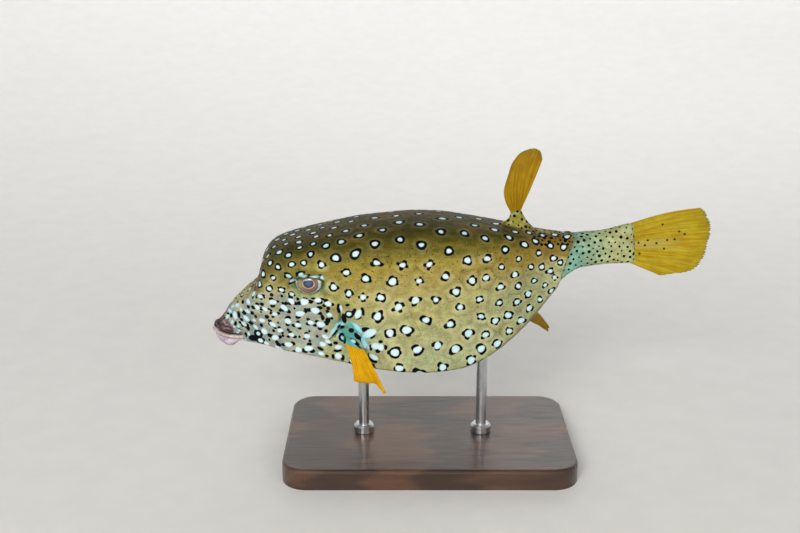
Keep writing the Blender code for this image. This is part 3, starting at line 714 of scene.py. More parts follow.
def own_marks(q, n):
    """The white and black marks of the mouth, the brow and the side fin's root."""
    x, z = side_view(q)
    side = -4.0 * fade(0.02, 0.35, n[..., 1])
    local, rho = eye_place(q)
    lids = np.where(rho < BROW_REACH, 0.0, -FAR)
    tables = (MOUTH_WHITES + FIN_WHITES, BROW_WHITES), (MOUTH_BLACKS + FIN_BLACKS, BROW_BLACKS)
    return [
        np.maximum(mark_field(x, z, marks) + side, mark_field(*side_view(local), brow_marks) + side + lids)
        for marks, brow_marks in tables
    ]


def spot_fields(p, n, spots):
    """Signed distances into the spots' white and black, past the black, and from the plates' edges."""
    shape = p.shape[:-1]
    flat_p, flat_n = p.reshape(-1, 3), n.reshape(-1, 3)
    index, distance = nearest(flat_p, spots["at"], 3)
    white, black, halo = (np.full(len(flat_p), far) for far in (-FAR, -FAR, FAR))
    e1 = unit(np.array([1.0, 0, 0]) - flat_n * flat_n[:, :1])
    e2 = np.cross(flat_n, e1)
    for k in range(3):
        one = {key: value[index[:, k]] for key, value in spots.items()}
        offset = flat_p - one["at"]
        a, b = np.sum(offset * e1, -1), np.sum(offset * e2, -1)
        along = a * np.cos(one["tilt"]) + b * np.sin(one["tilt"])
        across = b * np.cos(one["tilt"]) - a * np.sin(one["tilt"])
        along, across = along / one["stretch"], across * one["stretch"]
        depth = np.sum(offset * flat_n, -1)
        r, angle = np.hypot(np.hypot(along, across), depth), np.arctan2(across, along)
        phase = one["phase"]
        wobble = 0.07 * np.sin(2 * angle + phase * 1.7) + 0.05 * np.sin(3 * angle + phase * 2.9)
        rim = one["white"] * (1 + wobble)
        white = np.maximum(white, rim - r)
        width = one["ring"] * (1 + 0.16 * np.sin(2 * angle + phase) + 0.10 * np.sin(3 * angle + phase * 3.1))
        gaps = (np.cos(one["lobes"] * angle + phase * 1.9) + one["closed"]) / (1 + one["closed"])
        width = width * np.clip(gaps + 0.25, -1, 1)
        ring = width / 2 - np.abs(r - rim - 0.40 * np.maximum(width, 0)) - 3 * (1 - one["whole"])
        black = np.maximum(black, ring)
        for j in range(one["blobs"].shape[1]):
            size, place = one["blobs"][:, j, 0], one["blobs"][:, j, 1]
            far = one["white"] + (0.50 - 0.20 * one["whole"]) * size
            aside = np.hypot(along - far * np.cos(place), across - far * np.sin(place))
            black = np.maximum(black, size - np.hypot(aside, depth))
        halo = np.minimum(halo, r - rim - one["ring"])
    edge = (distance[:, 1] - distance[:, 0]) / 2
    return [f.reshape(shape) for f in (white, black, halo, edge)]


def make_blobs(rng, count, face, back, white):
    """The black blobs that thicken each spot's ring, (size, direction): they are all of it on the face."""
    blobs = np.zeros((count, 4, 2))
    blobs[..., 0] = -FAR
    for i in range(count):
        on_face = face[i] > 0.5
        number = rng.integers(2, 4) if on_face else rng.integers(1, 4)
        start = rng.uniform(0, 2 * math.pi)
        for j in range(number):
            size = rng.uniform(0.46, 0.68) if on_face else rng.uniform(0.42, 0.66)
            blobs[i, j] = (size * white[i] + 0.1, start + 2 * math.pi * j / number + rng.uniform(-0.5, 0.5))
        if back[i] > 0.6:
            blobs[i, :, 0] = -FAR
    return blobs


def make_spots(p, q, area, own_white):
    """The white spots' centres, over the whole shell and head, and each one's own shape."""
    part = (slice(None, None, SPOTS_STEP),) * 2
    free = (behind_lips(q) > 2.0) & (stem_share(q) < 0.02) & (eye_place(q)[1] > 1.36) & (root_share(q) < 0.3)
    free &= (own_white < -2.0) & (q[..., 0] > 8)
    x, z = (q[..., 0] - BARE_AT[0]) / BARE_RADII[0], (q[..., 2] - BARE_AT[1]) / BARE_RADII[1]
    free &= ~((np.hypot(x, z) < 1) & (q[..., 1] > 15))
    pick = free[part]
    points, folded = p[part][pick], q[part][pick]
    at = scatter(points, area[part][pick], spot_spacing(folded), SPOTS_SEED)
    folded = folded[nearest(at, points)[0][:, 0]]
    face, back, belly = face_share(folded), back_share(folded), belly_share(folded)
    spacing = spot_spacing(folded)
    rng = np.random.default_rng(SPOTS_SEED + 1)
    low = fade(-14, 14, folded[:, 2])
    white = np.interp(spacing, (4, 6, 9, 11), (0.90, 1.15, 1.55, 1.75)) * (0.90 + 0.22 * low)
    white = white + (np.interp(spacing, (5.5, 12.5), (1.08, 1.40)) - white) * back
    white = white + (np.interp(spacing, (4.5, 6.5), (1.10, 1.68)) - white) * face
    white = white * (1 + 0.12 * belly) * rng.uniform(0.82, 1.18, len(at))
    ring = np.interp(spacing, (4, 6, 9, 11), (0.95, 1.05, 1.35, 1.6)) - 0.12 * back
    ring = ring * rng.uniform(0.85, 1.15, len(at))
    return dict(
        at=at, white=white, ring=ring,
        stretch=1 + rng.uniform(0.0, 0.14, len(at)) + 0.12 * face,
        tilt=rng.uniform(-0.7, 0.7, len(at)),
        phase=rng.uniform(0, 2 * math.pi, len(at)),
        whole=fade(0.3, 0.6, face),
        lobes=rng.integers(2, 5, len(at)).astype(float),
        closed=rng.uniform(0.35, 1.5, len(at)) + 9 * smooth(0.4, 0.7, back) + 0.8 * belly,
        blobs=make_blobs(rng, len(at), face, back, white),
    )


def dot_field(p, mask, area, spacing, radius, seed):
    """Signed distance into small dots, whose centres are scattered where mask is true."""
    part = (slice(None, None, DOTS_STEP),) * 2
    chosen = mask[part]
    points = p[part][chosen]
    at = scatter(points, area[part][chosen], np.full(len(points), spacing), seed, rounds=2)
    index, distance = nearest(p.reshape(-1, 3), at, 1)
    rng = np.random.default_rng(seed + 1)
    sizes = radius * rng.uniform(0.65, 1.35, len(at))
    return (sizes[index[:, 0]] - distance[:, 0]).reshape(mask.shape)


# Ground colours


def mix(a, b, share):
    """From a to b as share goes from 0 to 1."""
    return a + (b - a) * np.asarray(share)[..., None]


def lay(colour, *tones):
    """Lays sRGB tones over a colour, one after another, each by its share."""
    for tone, share in tones:
        colour = mix(colour, srgb(tone), share)
    return colour


def shell_colour(q, n, drift):
    """Olive on the roof, gold and khaki down the flank, greyer and browner to the rear, cream below. Painted
    shade darkens the roof where it faces up, and the forehead.
    """
    x, z = side_view(q)
    upper, lower = curve(UPPER_RIDGE, x), curve(LOWER_RIDGE, x)
    height = (z - lower) / np.maximum(upper - lower, 1.0)
    rear = 0.8 * smooth(108, 152, x + 20 * drift)
    band = bump(height - 0.84 - 0.5 * drift, 0.15) * smooth(60, 78, x) * fade(120, 150, x)
    back = back_share(q)
    brow = smooth(15, 27, z) * fade(50, 72, x) * (1 - back)
    return lay(
        srgb(KHAKI_FLANK),
        (GOLD_FLANK, smooth(0.10, 0.60, height + drift)),
        (HIGH_FLANK, smooth(0.58, 1.0, height + drift)),
        (GREY_REAR, rear * fade(0.45, 0.85, height)),
        (BROWN_REAR, rear * smooth(0.50, 0.90, height)),
        (ORANGE_RIDGE, 0.30 * band),
        (OLIVE_BACK, smooth(0.10, 1.0, back + drift * 0.6)),
        # painted shade: the roof darker where it faces up
        (ROOF_PAINTED_SHADE, 0.95 * back * smooth(0.64, 0.98, n[..., 2])),
        # the forehead darker olive: its own colour, partly painted shade
        (BROW_OLIVE_AND_SHADE, 0.8 * back * fade(36, 62, x)),
        (OLIVE_TEMPLE, 0.75 * brow),
        (CREAM_BELLY, 0.9 * belly_share(q) * smooth(0.0, 0.6, -n[..., 2])),
    )


def face_colour(colour, p, q, drift):
    """The grey and pink face, and an olive patch behind it."""
    x, z = side_view(q)
    pale = lay(srgb(GREY_FACE), (PINK_FACE, 0.8 * smooth(-0.4, 0.9, wave_noise(p, 5, 6))))
    colour = mix(colour, pale, smooth(0.15, 0.85, face_share(q) + drift * 0.8))
    patch = bump(x - 59.0, 5.5) * bump(z - 12.0, 6.5) * (q[..., 1] > 10)
    return lay(colour, (OLIVE_PATCH, 0.75 * patch))


def stem_colour(colour, p, q, drift):
    """The mint and cream tail stem, and the orange saddle ahead of it."""
    x, stem = q[..., 0], stem_share(q)
    tone = lay(
        srgb(MINT_STEM),
        (CREAM_STEM, smooth(172, 196, x + 30 * drift)),
        (TEAL, 0.35 * bump(x - 172, 7) * smooth(0.0, 0.8, wave_noise(p, 6, 12))),
    )
    saddle = bump(x - 163, 8.5) * smooth(-6, 3, over_ridge(q)) * (1 - stem)
    return lay(mix(colour, tone, stem), (SADDLE, 0.8 * saddle))


def root_colour(colour, p, q):
    """The olive root of the back fin and the blue-green patch round the side fin's root."""
    olive = lay(srgb(OLIVE_ROOT), (PALE_ROOT, smooth(-0.3, 0.5, wave_noise(p, 4, 13))))
    teal = lay(
        srgb(TEAL),
        (PALE_TEAL, smooth(0.1, 0.8, wave_noise(p, 3.2, 16))),
        (OLIVE_TEAL, 0.8 * smooth(0.15, 0.7, wave_noise(p, 4.0, 17))),
    )
    colour = mix(colour, olive, 0.85 * np.clip(root_share(q), 0, 1))
    return mix(colour, teal, 0.9 * smooth(0.15, 0.80, teal_share(q) + 0.22 * wave_noise(p, 5, 8)))


def lid_and_gill_colour(colour, q, n):
    """The rings round the eye, the gill's pale flap, and painted shade in the gill's dark slit."""
    local, rho = eye_place(q)
    over = smooth(0.6, 2.4, local[..., 2])
    behind, down = gill_place(q)
    flank = smooth(0.3, 0.7, np.abs(n[..., 1]))
    flap = bump(behind + 1.0, 0.8) * smooth(0.42, 0.60, down) * fade(0.95, 1.08, down)
    slit = bump(behind, 0.5) * smooth(-0.05, 0.1, down) * fade(0.9, 1.05, down)
    return lay(
        colour,
        (GREEN_EYE_RIM, 0.85 * bump(rho - 1.22, 0.16)),
        (BLUE_BROW, 0.85 * over * bump(rho - 1.18, 0.14)),
        (DARK_LID, 0.8 * bump(rho - 1.02, 0.06)),
        (PALE_GILL, 0.9 * flap * flank),
        # painted shade in the gill's slit
        (SLIT_PAINTED_SHADE, 0.85 * (slit * flank)),
    )


def ground_colour(p, q, n):
    """The skin's colour under its marks."""
    drift = 0.10 * wave_noise(p, 26, 5)
    colour = shell_colour(q, n, drift)
    colour = face_colour(colour, p, q, drift)
    colour = stem_colour(colour, p, q, drift)
    colour = root_colour(colour, p, q)
    colour = lid_and_gill_colour(colour, q, n)
    return lip_colour(colour, p, q)


def lip_colour(colour, p, q):
    """Purple and pink streaks above the mouth's line, pink and blue below it, cream and brown along it, and
    painted shade in the mouth's groove.
    """
    x = q[..., 0]
    above, behind = above_mouth(q), behind_lips(q)
    on_lip = fade(-1.0, 0.5, behind + 0.5 * wave_noise(p, 3, 14))
    streaks = np.sin(above * 2.1 + 0.50 * x + 3.2 * wave_noise(p, 3.4, 9))
    pink = smooth(0.3, 1.0, streaks) * smooth(-0.5, 0.5, wave_noise(p, 2.6, 10))
    upper = lay(srgb(PURPLE_LIP), (PINK_STREAK, 0.75 * pink), (DARK_STREAK, 0.6 * smooth(0.1, 0.9, -streaks)))
    lower = lay(
        srgb(PINK_LIP),
        (MAUVE_LIP, 0.75 * bump(above + 1.75, 0.38)),
        (BLUE_LIP, 0.6 * smooth(0.0, 0.8, wave_noise(p, 5, 15)) * smooth(3, 6, -above)),
    )
    rise = 0.9 * fade(0.5, 5.0, x)
    tone = lay(
        mix(lower, upper, smooth(-0.25, 0.2, above - rise)),
        (CREAM_LIP, 0.9 * bump(above + 0.70 - rise * 0.8, 0.52)),
        (BROWN_MOUTH, 0.95 * bump(above - 0.75 - rise, 0.50) * smooth(1.5, 5.5, x)),
        # painted shade in the mouth's groove
        (MOUTH_PAINTED_SHADE, 0.9 * bump(above - 0.15, 0.30) * smooth(1.0, 3.5, x)),
    )
    return mix(colour, tone, on_lip)


# Building meshes


def new_object(name, data):
    """An object of the scene with the given data."""
    obj = bpy.data.objects.new(name, data)
    bpy.context.scene.collection.objects.link(obj)
    return obj


def mesh_object(name, points, faces, material, nodes):
    """A piece of the model from a grid of points, which rides on the body and stands for CAD nodes."""
    mesh = bpy.data.meshes.new(name)
    vertices = to_world(points).reshape(-1, 3)
    mesh.vertices.add(len(vertices))
    mesh.vertices.foreach_set("co", vertices.ravel())
    mesh.loops.add(faces.size)
    mesh.loops.foreach_set("vertex_index", faces.ravel())
    mesh.polygons.add(len(faces))
    mesh.polygons.foreach_set("loop_start", np.arange(len(faces)) * faces.shape[1])
    mesh.polygons.foreach_set("loop_total", np.full(len(faces), faces.shape[1]))
    mesh.update(calc_edges=True)
    mesh.validate()
    mesh.shade_smooth()
    obj = new_object(name, mesh)
    mesh.materials.append(material)
    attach(obj, "root")
    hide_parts(*nodes)
    return obj


def add_numbers(obj, **fields):
    """Stores numbers for the mesh's points under their names."""
    for name, values in fields.items():
        layer = obj.data.attributes.new(name, "FLOAT", "POINT")
        layer.data.foreach_set("value", np.ascontiguousarray(values, dtype=np.float32).ravel())


def add_ground(obj, values):
    """Stores the mesh's base colours, in linear RGB."""
    layer = obj.data.attributes.new("ground", "FLOAT_COLOR", "POINT")
    rgba = np.concatenate([values, np.ones(values.shape[:-1] + (1,))], -1)
    layer.data.foreach_set("color", rgba.astype(np.float32).ravel())


def tube_faces(rows, columns):
    """Quads of a grid that closes round its columns and is capped at both ends by strips across it."""
    i, j = np.meshgrid(np.arange(rows - 1), np.arange(columns), indexing="ij")
    k = (j + 1) % columns
    side = np.stack([i * columns + j, i * columns + k, (i + 1) * columns + k, (i + 1) * columns + j], -1)
    r = np.arange(1, columns // 2 - 1)
    first = np.stack([r, columns - r, columns - r - 1, r + 1], -1)
    last = (rows - 1) * columns + first[:, ::-1]
    return np.concatenate([side.reshape(-1, 4)[:, ::-1], first[:, ::-1], last[:, ::-1]])


def fan_faces(columns, rows):
    """Quads of a fan's two sides and of the rim between them."""
    i, j = np.meshgrid(np.arange(columns - 1), np.arange(rows - 1), indexing="ij")
    a, b = i * rows + j, (i + 1) * rows + j
    top = np.stack([a, b, b + 1, a + 1], -1).reshape(-1, 4)
    under = top[:, ::-1] + columns * rows
    rim = np.concatenate([
        np.arange(columns) * rows,
        (columns - 1) * rows + np.arange(1, rows),
        (np.arange(columns - 1)[::-1]) * rows + rows - 1,
        np.arange(1, rows - 1)[::-1],
    ])
    after = np.roll(rim, -1)
    edge = np.stack([after, rim, rim + columns * rows, after + columns * rows], -1)
    return np.concatenate([top, under, edge])


def skin_shape():
    """The skin's grid of points, and the factors that fold each point to the right side."""
    p = droop_lip(whole_rings(half_rings(station_places())))
    fold = np.where(p[..., 1:2] < 0, -1.0, 1.0) * np.array([0, 1.0, 0]) + np.array([1.0, 0, 1.0])
    q, n = p * fold, unit(grid_crosses(p))
    nq = n * fold
    relief = lip_relief(q) + nostril_relief(q) + gill_relief(q, nq) + rim_relief(q)
    q = sink_socket(q + nq * relief[..., None], nq)
    p = raise_root(q, nq, PECTORAL_ROOT, PECTORAL_SPREAD) * fold
    for root in (DORSAL_ROOT, ANAL_ROOT):
        p = raise_root(p, n, root, MIDDLE_SPREAD)
    return p, fold


def small_dots(p, q, area, own_white, own_black):
    """Signed distance into the dots of the tail stem, of the back fin's root and saddle, and of the face."""
    stem = stem_share(q)
    on_saddle = (q[..., 0] > SADDLE_FROM) & (stem < 0.1) & (over_ridge(q) > 1.5)
    on_face = (face_share(q) > 0.5) & (behind_lips(q) > 1.0) & (own_white < -1) & (own_black < -1)
    return np.maximum.reduce([
        dot_field(p, stem > 0.10, area, **STEM_DOTS),
        dot_field(p, (root_share(q) > 0.25) | on_saddle, area, **ROOT_DOTS),
        dot_field(p, on_face, area, **FACE_DOTS),
    ])


def make_skin(material):
    """The skin of the head, the trunk, the tail stem, the lips and the fins' roots, with its marks."""
    p, fold = skin_shape()
    q, n = p * fold, unit(grid_crosses(p))
    nq = n * fold
    area = np.linalg.norm(grid_crosses(p), axis=-1)
    own_white, own_black = own_marks(q, nq)
    spots = make_spots(p, q, area, own_white)
    white, black, halo, edge = spot_fields(p, n, spots)
    plate = (1 - stem_share(q)) * (1 - face_share(q)) * smooth(34, 50, q[..., 0])
    p = p + n * ((PLATE_GROOVE * smooth(0.1, 1.6, edge) - PLATE_GROOVE) * plate)[..., None]

    off_lids = eye_place(q)[1] > 1.05
    on_root = root_share(q) > 0.45
    white, black = (
        np.where(on_root, OUTSIDE, np.maximum(np.where(off_lids, field, OUTSIDE), own))
        for field, own in ((white, own_white), (black, own_black))
    )
    obj = mesh_object("skin", p, tube_faces(*p.shape[:2]), material, [
        "head", "trunk", "caudal_peduncle", "upper_lip", "lower_lip", "dorsal_fin_base", "anal_fin_base",
        "pectoral_fin_base_left", "pectoral_fin_base_right",
    ])
    add_ground(obj, ground_colour(p, q, nq).reshape(-1, 3))
    add_numbers(
        obj, white=white, black=black, halo=halo, dots=small_dots(p, q, area, own_white, own_black),
        edge=np.where(plate > 0.3, edge, FAR), back=back_share(q), blue=blue_share(q),
        freckles=freckle_share(q),
    )


def eye_colour(local):
    """The eye's colours by distance from its middle: pupil, pale ring, iris, dark ring, pale outer ring.
    Painted shadow darkens the upper iris, and a painted highlight whitens the pale ring's top.
    """
    a, b = side_view(local)
    angle = np.arctan2(b, a)
    r = np.hypot(a, b * 1.10)
    drift = wave_noise(local, 1.6, 41)
    streak = 0.5 + 0.5 * np.sin(37 * angle + 3 * np.sin(5 * angle) + 1.6 * r + 1.5 * drift)
    iris = lay(
        srgb(IRIS_BROWN),
        (IRIS_DARK, 0.5 * streak + 0.3 * drift),
        (IRIS_OLIVE, 0.8 * smooth(0.5, 3.2, -a) * smooth(-3.6, -1.0, b)),
        # painted shadow of the brow over the upper iris
        (IRIS_PAINTED_SHADOW, 0.7 * smooth(1.3, 2.8, b)),
        (IRIS_RIM, smooth(4.45, 4.9, r + 0.12 * drift)),
    )
    outer = lay(
        srgb(EYE_BLUE),
        (EYE_PALE, smooth(-0.4, 0.6, drift + 0.3 * np.cos(angle - 0.5))),
        (EYE_MAUVE, 0.8 * smooth(3.0, 4.6, -b) * bump(a, 3.0)),
    )
    colour = lay(mix(iris, outer, smooth(5.0, 5.3, r + 0.12 * drift)), (EYE_EDGE, smooth(6.15, 6.4, r)))
    a = a - PUPIL_AHEAD
    power, tall, ring_tall = (
        np.where(b > 0, over, under) for over, under in ((3.2, 2.0), (1.60, 1.95), (2.20, 2.40))
    )
    pupil = ((np.abs(a) / 2.45) ** power + (np.abs(b) / tall) ** power) ** (1 / power)
    ring = np.hypot(a / 2.90, b / ring_tall) + 0.02 * np.sin(5 * angle)
    glint = np.hypot((a - 0.1) / 2.2, (b + 0.1) / 1.6)
    # the pale ring's top whiter and bluer: a painted highlight
    pale = lay(srgb(PUPIL_RING), (PUPIL_RING_HIGHLIGHT, smooth(0.6, 1.8, b)))
    return lay(
        mix(colour, pale, fade(0.95, 1.05, ring)),
        (PUPIL, fade(0.96, 1.06, pupil)),
        (PUPIL_GLINT, 0.9 * fade(0.35, 0.95, glint)),
    )


def make_eye(name, side, material):
    """One eyeball, an ellipsoid, whose poles face outward and inward."""
    rows, columns = 96, 144
    pole = 0.004
    u = np.linspace(pole, math.pi - pole, rows)[:, None]
    v = np.linspace(0, 2 * math.pi, columns, endpoint=False)[None, :]
    ball = np.stack([np.sin(u) * np.cos(v), np.cos(u) + 0 * v, np.sin(u) * np.sin(v)], -1)
    local = ball * np.array(EYE_RADII)
    p = (local @ eye_frame().T + np.array(EYE_AT)) * np.array([1.0, side, 1.0])
    faces = tube_faces(rows, columns)
    if side > 0:
        faces = faces[:, ::-1]
    obj = mesh_object(name, p, faces, material, [name])
    add_ground(obj, eye_colour(local).reshape(-1, 3))


def mirrored(shape, side):
    """A fin or its root, with y turned to one side of the fish."""
    turned = dict(shape)
    for key in ("foot", "top", "along"):
        if key in shape:
            x, y, z = shape[key]
            turned[key] = (x, y * side, z)
    if "tips" in shape:
        turned["tips"] = [(t, x, y * side, z) for t, x, y, z in shape["tips"]]
        turned["curl"] = shape["curl"] * side
    return turned


def fin_seat(shape):
    """The two ends of a fin's own root, just over the top of its fleshy root."""
    axis, along, _ = root_axes(shape)
    middle = np.array(shape["top"], float) + axis * SEAT_GAP
    reach = along * (shape["top_radii"][0] - SEAT_INSET)
    return middle - reach, middle + reach


def ray_field(rays, t, u):
    """1 along the middle of each ray, 0 between rays. Rays fork at mid-length and again further out."""
    spacing = 1 / (rays - 1)
    field = np.zeros_like(t * u)
    for k in range(rays):
        middle = k * spacing
        fork = FORK_SPREAD * spacing * smooth(0.42, 0.85, u)
        twig = TWIG_SPREAD * spacing * smooth(0.72, 1.0, u)
        width = spacing * (RAY_WIDTH - 0.15 * u)
        for one in (-1, 1):
            for two in (-1, 1):
                place = middle + one * fork + two * twig
                field = np.maximum(field, np.exp(-(((t - place) / width) ** 2)))
    return field


def fan_reach(fin, t, u, rays, rng):
    """How far out along its ray each point of the fan lies: ragged and a little notched between the rays."""
    fray, corner = fin["fray"], fin["corner"]
    ragged = sum(np.sin(2 * math.pi * t[:, 0] * f + rng.uniform(0, 6.3)) / f for f in (5, 9, 14, 23, 37))
    reach = 1 - fray * (1 - rays[:, -1]) * 1.2 - fray * 1.6 * np.clip(ragged, 0, 1)
    reach = reach - corner * (bump(t[:, 0], 0.05) + bump(1 - t[:, 0], 0.05))
    return u * (1 + (reach[:, None] - 1) * smooth(0.6, 1.0, u))


def fan_thickness(fin, t, u, rays):
    """Thin web and thicker, jointed rays, stout at the root and fine at the edges."""
    wave = np.sin(u * u.size * 0.42 + 3 * np.floor(t * (fin["rays"] - 1) + 0.5))
    joints = 0.86 + 0.14 * np.clip(wave * 3, -1, 1)
    thick = WEB_THICKNESS + rays * (RAY_THICKNESS - 0.34 * u) * np.where(u > 0.15, joints, 1.0)
    thick = thick + np.clip(fin["root_thickness"] - 0.7, 0, 2) * (1 - u) ** 6
    return thick * np.minimum(1, 0.35 + 6 * (1 - u)) * np.minimum(1, 0.5 + 20 * np.minimum(t, 1 - t))


def make_fin(name, fin, seat, material, seed, dots=()):
    """A thin fan with forked, jointed rays standing out of its web on both sides."""
    seat = [np.array(s, float) for s in seat]
    columns, rows = COLUMNS_PER_RAY * (fin["rays"] - 1) + 1, fin["rows"]
    t = np.linspace(0, 1, columns)[:, None]
    u = np.linspace(0, 1, rows)[None, :]
    tips = np.array(fin["tips"], float)
    tip = np.stack([curve(tips[:, [0, k]], t[:, 0]) for k in (1, 2, 3)], -1)
    root = seat[0] + (seat[1] - seat[0]) * t
    chord = unit(seat[1] - seat[0])
    normal = unit(np.cross(chord, (tip[0] + tip[-1]) / 2 - (seat[0] + seat[1]) / 2))
    rays = ray_field(fin["rays"], t, u)
    rng = np.random.default_rng(seed)
    share = fan_reach(fin, t, u, rays, rng)
    bow = -chord * fin["bow"] * ((1 - t) * np.sin(math.pi * u))[..., None]
    curl = normal * (fin["curl"] * np.sin(math.pi * u) * (0.4 + 0.6 * t))[..., None]
    middle = root[:, None] + (tip - root)[:, None] * share[..., None] + bow + curl
    ripple = 0.35 * np.sin(2 * math.pi * t * (fin["rays"] - 1) / 2 + rng.uniform(0, 6)) * u**2
    ripple = ripple + 0.45 * np.sin(2 * math.pi * (t * 1.3 + 0.2)) * u**1.5
    middle = middle + normal * ripple[..., None]
    thick = fan_thickness(fin, t, u, rays)
    p = np.concatenate([middle + normal * (s * thick / 2)[..., None] for s in (1, -1)])
    obj = mesh_object(name, p, fan_faces(columns, rows), material, [name])
    field = np.full(middle.shape[:2], -FAR)
    for across, out in dots:
        centre = middle[int(across * (columns - 1)), int(out * (rows - 1))]
        field = np.maximum(field, TAIL_DOT_SIZE - np.linalg.norm(middle - centre, axis=-1))
    fields = dict(ray=rays, out=share, across=t + 0 * u, dots=field)
    add_numbers(obj, **{key: np.concatenate([value, value]) for key, value in fields.items()})


# Materials


class Nodes:
    """Short names for building a material's node tree."""

    def __init__(self, name):
        self.material = bpy.data.materials.new(name)
        self.material.use_nodes = True
        self.tree = self.material.node_tree
        self.shader = self.tree.nodes["Principled BSDF"]

    def add(self, kind, inputs=(), **settings):
        """A new node with its settings and inputs."""
        node = self.tree.nodes.new(kind)
        for key, value in settings.items():
            setattr(node, key, value)
        for key, value in dict(inputs).items():
            self.put(node.inputs[key], value)
        return node

    def put(self, socket, value):
        """Links a socket to another one, or gives it a constant."""
        if isinstance(value, bpy.types.NodeSocket):
            self.tree.links.new(value, socket)
        else:
            socket.default_value = value

    def number(self, name):
        """One of the mesh's numbers."""
        return self.add("ShaderNodeAttribute", attribute_name=name).outputs["Fac"]

    def colour(self, name):
        """One of the mesh's colours."""
        return self.add("ShaderNodeAttribute", attribute_name=name).outputs["Color"]

    def place(self, scale):
        """Object coordinates, in which one unit is 1 / scale metres."""
        where = self.add("ShaderNodeTexCoord").outputs["Object"]
        return self.add("ShaderNodeMapping", {"Vector": where, "Scale": scale}).outputs["Vector"]

    def noise(self, scale, detail=4.0, rough=0.55, stretch=(1, 1, 1)):
        """Noise whose features are about 1 / scale metres across."""
        where = self.place(stretch)
        return self.add("ShaderNodeTexNoise", {"Vector": where, "Scale": scale, "Detail": detail,
                                               "Roughness": rough}).outputs["Fac"]

    def cells(self, scale):
        """Distance from the middle of the nearest of many cells, each about 1 / scale metres across."""
        node = self.add("ShaderNodeTexVoronoi", {"Vector": self.place((1, 1, 1)), "Scale": scale})
        return node.outputs["Distance"]

    def math(self, operation, a, b=0.0, c=0.0):
        """A sum, a product or the like of up to three values."""
        node = self.add("ShaderNodeMath", operation=operation)
        for socket, value in zip(node.inputs, (a, b, c)):
            self.put(socket, value)
        return node.outputs[0]

    def times(self, a, b):
        return self.math("MULTIPLY", a, b)

    def steps(self, value, low, high, to_low=0.0, to_high=1.0):
        """A smooth step from to_low to to_high as value goes from low to high."""
        node = self.add("ShaderNodeMapRange", {"Value": value, "From Min": low, "From Max": high,
                                               "To Min": to_low, "To Max": to_high},
                        interpolation_type="SMOOTHSTEP")
        return node.outputs["Result"]

    def mix(self, share, a, b, blend="MIX"):
        """The colour a, turned into b by a share."""
        node = self.add("ShaderNodeMix", data_type="RGBA", blend_type=blend)
        self.put(node.inputs[0], share)
        for socket, value in ((node.inputs[6], a), (node.inputs[7], b)):
            if isinstance(value, tuple):
                value = (*srgb(value), 1.0)
            self.put(socket, value)
        return node.outputs[2]

    def shade(self, base, tone):
        """A colour multiplied by a grey tone."""
        grey = self.add("ShaderNodeCombineColor", {"Red": tone, "Green": tone, "Blue": tone}).outputs[0]
        return self.mix(1.0, base, grey, "MULTIPLY")

    def bump(self, height, distance, strength=1.0, normal=None):
        """A normal that makes a height show as relief."""
        node = self.add("ShaderNodeBump", {"Height": height, "Distance": distance, "Strength": strength})
        if normal is not None:
            self.put(node.inputs["Normal"], normal)
        return node.outputs["Normal"]

    def finish(self, **sockets):
        """Fills the shader's sockets and gives the material."""
        for key, value in sockets.items():
            self.put(self.shader.inputs[key.replace("_", " ")], value)
        return self.material


def skin_tone(m):
    """The skin's fine mottling, its streaks, strongest on the back, and its grit, as one grey tone."""
    mottle = m.steps(m.noise(260, 5, 0.6), 0.3, 0.7, 0.78, 1.18)
    streak = m.steps(m.noise(300, 5, 0.65, (0.22, 1, 1.7)), 0.34, 0.68, 1.14, 0.74)
    share = m.steps(m.number("back"), 0.0, 0.6, 0.40, 1.0)
    streak = m.math("ADD", 1.0, m.times(m.math("SUBTRACT", streak, 1.0), share))
    grit = m.steps(m.noise(1250, 3, 0.7), 0.34, 0.66, 0.80, 1.13)
    return m.times(m.times(mottle, streak), grit)


def skin_ground(m):
    """The ground colour with its warm patches, specks and freckles, the plates' lines and the spots' glow."""
    base = m.shade(m.colour("ground"), skin_tone(m))
    base = m.mix(m.steps(m.noise(120, 4, 0.6, (0.5, 1, 1)), 0.45, 0.75, 0.0, 0.35), base, WARM_PATCH)
    speck = m.times(m.steps(m.cells(240), 0.09, 0.16, 1.0, 0.0), m.steps(m.noise(60, 2), 0.50, 0.62))
    base = m.mix(m.times(speck, 0.6), base, BROWN_SPECK)
    freckle = m.times(m.steps(m.cells(560), 0.14, 0.20, 0.9, 0.0), m.number("freckles"))
    base = m.mix(freckle, base, FRECKLE)
    line = m.steps(m.number("edge"), 0.05, 0.45, 0.50, 0.0)
    base = m.mix(m.times(line, m.steps(m.noise(70, 2), 0.50, 0.70)), base, PLATE_LINE)
    glow = m.steps(m.number("halo"), 0.0, 2.0, 1.0, 0.0)
    glow = m.times(glow, m.steps(m.noise(45, 2), 0.35, 0.65, 0.06, 0.42))
    return m.mix(m.times(glow, m.steps(m.number("back"), 0.05, 0.60, 1.0, 0.22)), base, SPOT_GLOW)


